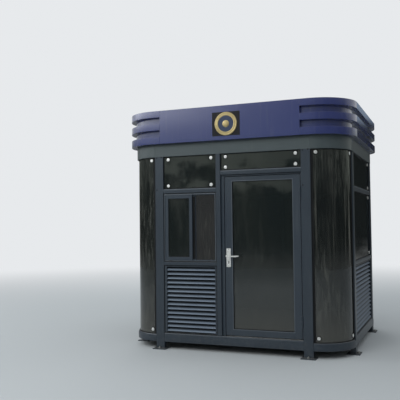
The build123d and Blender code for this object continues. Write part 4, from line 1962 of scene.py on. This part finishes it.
@dataclass
class Backdrop:
    """Dark ring round the studio that only reflections show, under a bright sky.

    Attributes:
        pale: Colour of the sky over its hazy stretches.
        radius: Distance of the ring from the booth's middle.
        thickness: Thickness of the ring.
        low: Height of its foot.
        high: Height of its top.
        skyline: Around the ring, in degrees from the X axis: how high the dark reaches, how
            hazy it is and how streaked.
        gaps: Where light comes through the dark.
        leaves: How ragged the dark is.
        shadow: Colour of the dark.
        gleam: Colour of the light that comes through it.
        ground: Colour of its foot.
        hedge: Colour of its hazy stretches near the top.
        sky: Colour of the clear sky.
        glare: Colour of the bright patch in the sky, to the left of the booth.
    """

    pale: Color
    radius: float = 14.0
    thickness: float = 0.1
    low: float = 0.01
    high: float = 10.0
    skyline: tuple[tuple[float, ...], ...] = (
        (0.0, 4.9, 0.4, 1.2),
        (40.0, 4.2, 1.2, 1.0),
        (60.0, 4.2, 1.3, 1.0),
        (70.0, 4.55, 0.0, 0.0),
        (120.0, 4.55, 0.0, 0.0),
        (140.0, 4.0, 0.5, 0.6),
        (206.0, 4.0, 0.6, 0.6),
        (247.0, 4.2, 2.0, 0.6),
        (262.0, 5.4, 1.0, 0.8),
        (310.0, 5.2, 0.4, 1.2),
    )
    gaps: Noise = Noise(0.55, 7.0, 0.72, (1.0, 1.0, 0.3), (0.5, 0.66))
    leaves: Noise = Noise(1.3, 6.0, 0.6, (1.0, 1.0, 1.3), (0.38, 0.62))
    shadow: Color = (0.012, 0.014, 0.014)
    gleam: Color = (0.75, 0.78, 0.7)
    ground: Color = (0.24, 0.25, 0.25)
    hedge: Color = (0.54, 0.6, 0.53)
    sky: Color = (0.23, 0.29, 0.37)
    glare: Color = (4.0, 4.15, 4.3)

    def build(self) -> None:
        """Builds the ring."""
        inner, outer, low, high = self.radius, self.radius + self.thickness, self.low, self.high
        outline = [(inner, low), (outer, low), (outer, high), (inner, high), (inner, low)]
        ring = Bench.turned("studio_ring", outline, steps=64)
        shader = Shader("studio_ring")
        shader.set(
            Base_Color=(0.0, 0.0, 0.0),
            Roughness=1.0,
            Specular_IOR_Level=0.0,
            Emission_Color=self._light(shader),
            Emission_Strength=1.0,
        )
        ring.data.materials.append(shader.material)
        ring.visible_camera = False
        ring.visible_diffuse = False
        ring.visible_transmission = False
        ring.visible_shadow = False

    def _skyline(self, shader: Shader) -> list[Value]:
        """Height, haze and streaks of the dark at each direction, from 0 to 1.

        Args:
            shader: The ring's shader.

        Returns:
            Tenths of the height in metres, half of the haze and half of the streaks.
        """
        turn = shader.node(
            "ShaderNodeTexGradient", {"gradient_type": "RADIAL"}, {"Vector": shader.place()}, "Fac"
        )
        stops = sorted(
            ((azimuth / 360.0 + 0.5) % 1.0, (height / 10.0, haze / 2.0, streaks / 2.0))
            for azimuth, height, haze, streaks in self.skyline
        )
        profile = shader.node("ShaderNodeValToRGB", {"stops": stops}, {0: turn})
        return [
            shader.node("ShaderNodeSeparateColor", None, {0: profile}, channel)
            for channel in range(3)
        ]

    def _glare(self, shader: Shader, height: Value) -> Value:
        """Mask of the bright patch, soft at all its edges.

        Args:
            shader: The ring's shader.
            height: Height above the ground.

        Returns:
            The mask.
        """
        aside = shader.along(0).between(-3.2, -7.5) * shader.along(1).between(5.0, -5.0)
        return aside * height.between(4.4, 5.1) * height.between(self.high, self.high - 1.5)

    def _light(self, shader: Shader) -> Value:
        """Colour that the ring shows to the reflections.

        Args:
            shader: The ring's shader.

        Returns:
            The colour.
        """
        height = shader.height()
        edge, haze, streaks = self._skyline(shader)
        leaves = self.leaves.on(shader)
        dark = shader.mix(self.gaps.on(shader) * streaks * 1.6, self.shadow, self.gleam)
        foot = (height - leaves * 0.3).between(0.7, -0.3)
        dark = shader.mix(foot, dark, self.ground)
        rise = (height + leaves * 1.2).between(3.2, 3.9)
        dark = shader.mix(rise * haze * 1.2, dark, self.hedge)
        sky = shader.mix(haze * 3.0, self.sky, self.pale)
        sky = shader.mix(self._glare(shader, height), sky, self.glare)
        clear = (height - edge * 10.0).between(0.0, 0.5)
        return shader.mix(clear, dark, sky)


@dataclass(frozen=True)
class Lamp:
    """Square soft lamp, unseen in reflections.

    Attributes:
        name: Name of the lamp.
        place: Its place in metres.
        size: Its side in metres.
        power: Its power in watts.
    """

    name: str
    place: tuple[float, float, float]
    size: float
    power: float

    def hang(self, aim: Point) -> None:
        """Hangs the lamp so that it looks at a point.

        Args:
            aim: The point.
        """
        data = bpy.data.lights.new(self.name, "AREA")
        data.size = self.size
        data.energy = self.power
        lamp = bpy.data.objects.new(self.name, data)
        bpy.context.scene.collection.objects.link(lamp)
        lamp.location = self.place
        look = Vector(aim) - Vector(self.place)
        lamp.rotation_euler = look.to_track_quat("-Z", "Y").to_euler()
        lamp.visible_glossy = False
        lamp.visible_camera = False
        lamp.visible_transmission = False


@dataclass
class Studio:
    """Plain floor, soft light, a ring for the reflections, and the photograph's camera.

    Attributes:
        eye: The camera's place in metres.
        pan: Degrees that it looks to the left of straight ahead.
        tilt: Degrees that it looks up.
        roll: Degrees that it leans.
        lens: Focal length in millimetres.
        sensor: Width of its sensor in millimetres.
        background: Colour behind everything.
        lamps: Large soft lamps over the front, the left and the back, and a weak one indoors.
        aim: Point that the lamps look at.
        daylight: Colour of the even light.
        strength: Strength of the even light from the horizon and from above.
        floor_size: Size of the floor.
        floor_color: Colour of the floor.
        fade: Distances at which the floor starts and ends to run into the background.
    """

    eye: tuple[float, float, float] = (2.279, -7.6705, 1.408)
    pan: float = 22.027
    tilt: float = 2.317
    roll: float = -0.641
    lens: float = 56.06
    sensor: float = 36.0
    background: Color = (0.80, 0.82, 0.84)
    lamps: tuple[Lamp, ...] = (
        Lamp("key_lamp", (-1.0, -8.5, 6.0), 5.0, 290.0),
        Lamp("fill_lamp", (-7.0, -2.0, 5.0), 5.0, 105.0),
        Lamp("back_lamp", (-4.0, 8.0, 6.0), 5.0, 180.0),
        Lamp("room_lamp", (0.0, 0.0, 2.25), 1.4, 24.0),
    )
    aim: tuple[float, float, float] = (0.0, 0.0, 1.2)
    daylight: Color = (0.92, 0.96, 1.0)
    strength: Span = (0.22, 0.86)
    floor_size: float = 120.0
    floor_color: Color = (0.48, 0.51, 0.52)
    fade: Span = (3.5, 15.0)

    def build(self) -> None:
        """Sets the camera, the lamps, the world, the floor and the ring."""
        self._camera()
        for lamp in self.lamps:
            lamp.hang(self.aim)
        self._world()
        self._floor()
        Backdrop(self.background).build()
        bpy.context.scene.view_settings.view_transform = "Standard"

    def _camera(self) -> None:
        """Camera at the photograph's angle."""
        data = bpy.data.cameras.new("photo_camera")
        data.lens = self.lens
        data.sensor_width = self.sensor
        camera = bpy.data.objects.new("photo_camera", data)
        bpy.context.scene.collection.objects.link(camera)
        turn = (
            Matrix.Rotation(math.radians(self.pan), 4, "Z")
            @ Matrix.Rotation(math.radians(90.0 + self.tilt), 4, "X")
            @ Matrix.Rotation(math.radians(self.roll), 4, "Z")
        )
        camera.matrix_world = Matrix.Translation(self.eye) @ turn
        bpy.context.scene.camera = camera

    def _world(self) -> None:
        """Even light all round, with a pale background for the camera, metal and glass."""
        world = bpy.data.worlds.new("studio")
        bpy.context.scene.world = world
        world.use_nodes = True
        tree = world.node_tree
        tree.nodes.clear()
        path = tree.nodes.new("ShaderNodeLightPath")
        seen = tree.nodes.new("ShaderNodeBackground")
        seen.inputs["Color"].default_value = (*self.background, 1.0)
        soft = tree.nodes.new("ShaderNodeBackground")
        soft.inputs["Color"].default_value = (*self.daylight, 1.0)
        place = tree.nodes.new("ShaderNodeTexCoord")
        split = tree.nodes.new("ShaderNodeSeparateXYZ")
        rise = tree.nodes.new("ShaderNodeMapRange")
        tree.links.new(place.outputs["Generated"], split.inputs[0])
        tree.links.new(split.outputs["Z"], rise.inputs[0])
        rise.inputs[3].default_value, rise.inputs[4].default_value = self.strength
        tree.links.new(rise.outputs[0], soft.inputs["Strength"])
        factor = path.outputs["Is Camera Ray"]
        for name in ("Is Glossy Ray", "Is Transmission Ray"):
            larger = tree.nodes.new("ShaderNodeMath")
            larger.operation = "MAXIMUM"
            tree.links.new(factor, larger.inputs[0])
            tree.links.new(path.outputs[name], larger.inputs[1])
            factor = larger.outputs[0]
        choice = tree.nodes.new("ShaderNodeMixShader")
        end = tree.nodes.new("ShaderNodeOutputWorld")
        tree.links.new(factor, choice.inputs[0])
        tree.links.new(soft.outputs[0], choice.inputs[1])
        tree.links.new(seen.outputs[0], choice.inputs[2])
        tree.links.new(choice.outputs[0], end.inputs["Surface"])

    def _floor(self) -> None:
        """Wide pale floor, which runs into the background far from the booth."""
        bpy.ops.object.select_all(action="DESELECT")
        bpy.ops.mesh.primitive_plane_add(size=self.floor_size)
        floor = bpy.context.object
        floor.name = "studio_floor"
        shader = Shader("pale_floor")
        shader.set(Base_Color=self.floor_color, Roughness=0.9, Specular_IOR_Level=0.1)
        away = shader.node(
            "ShaderNodeVectorMath", {"operation": "LENGTH"}, {0: shader.place()}, "Value"
        )
        seen = shader.node("ShaderNodeLightPath", output="Is Camera Ray")
        plain = {"Color": self.background, "Strength": 1.0}
        far = shader.node("ShaderNodeEmission", None, plain)
        near = Value(shader, shader.surface.outputs[0])
        blend = shader.node(
            "ShaderNodeMixShader", None, {0: away.between(*self.fade) * seen, 1: near, 2: far}
        )
        shader.tree.links.new(blend.output, shader.end.inputs["Surface"])
        floor.data.materials.append(shader.material)


def ease_shell() -> None:
    """Shows the frame, the header, the fascia and the roof with soft edges."""
    posts = ["posts_front", "posts_back", "posts_left", "posts_right"]
    posts += ["mullion_front", "mullion_back"]
    rails = ["base_rails", "base_corners", "transom_rails", "mid_rails"]
    fascia = ["fascia_front", "fascia_back", "fascia_left", "fascia_right"]
    fascia += ["fascia_corners_front", "fascia_corners_back"]
    for finish, nodes, width, slot in (
        (Finish.FRAME, posts, 0.0025, "frame_paint"),
        (Finish.FRAME, rails, 0.004, "frame_paint"),
        (Finish.HEADER, ["header_rails", "header_corners"], 0.002, "frame_paint"),
        (Finish.FASCIA, fascia, 0.0025, "fascia_paint"),
        (Finish.ROOF, ["roof_deck"], 0.001, "roof_sheet"),
    ):
        EasedParts(finish, nodes, width, slot).build()


def dress_rest(frame: dict[str, Any]) -> None:
    """Gives every CAD part that still shows the finish of its slot.
    """
    finishes = {
        "frame_paint": Finish.FRAME,
        "floor_steel": Finish.FLOOR,
        "lining": Finish.BOARD,
        "fascia_paint": Finish.FASCIA,
        "roof_sheet": Finish.ROOF,
        "tinted_glass": Finish.GLASS,
        "louvre_paint": Finish.BLADE,
        "window_paint": Finish.DOOR,
        "door_paint": Finish.DOOR,
        "stainless": Finish.STEEL,
    }
    for part in frame["record"]["subparts"]:
        node = frame["nodes"][part["node"]]
        if not node.hide_render:
            finishes[part["material_slot"]].dress(node)


def main() -> None:
    """Builds the dressed booth in order."""
    logging.basicConfig(level=logging.INFO, format="%(name)s: %(message)s")
    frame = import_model()
    booth = Body()
    ease_shell()
    Glazing(booth).build()
    Louvres(booth).build()
    WindowSet(booth).build()
    DoorSet(booth).build()
    Feet(booth).build()
    Sign().build()
    dress_rest(frame)
    Studio().build()


if __name__ == "__main__":
    main()
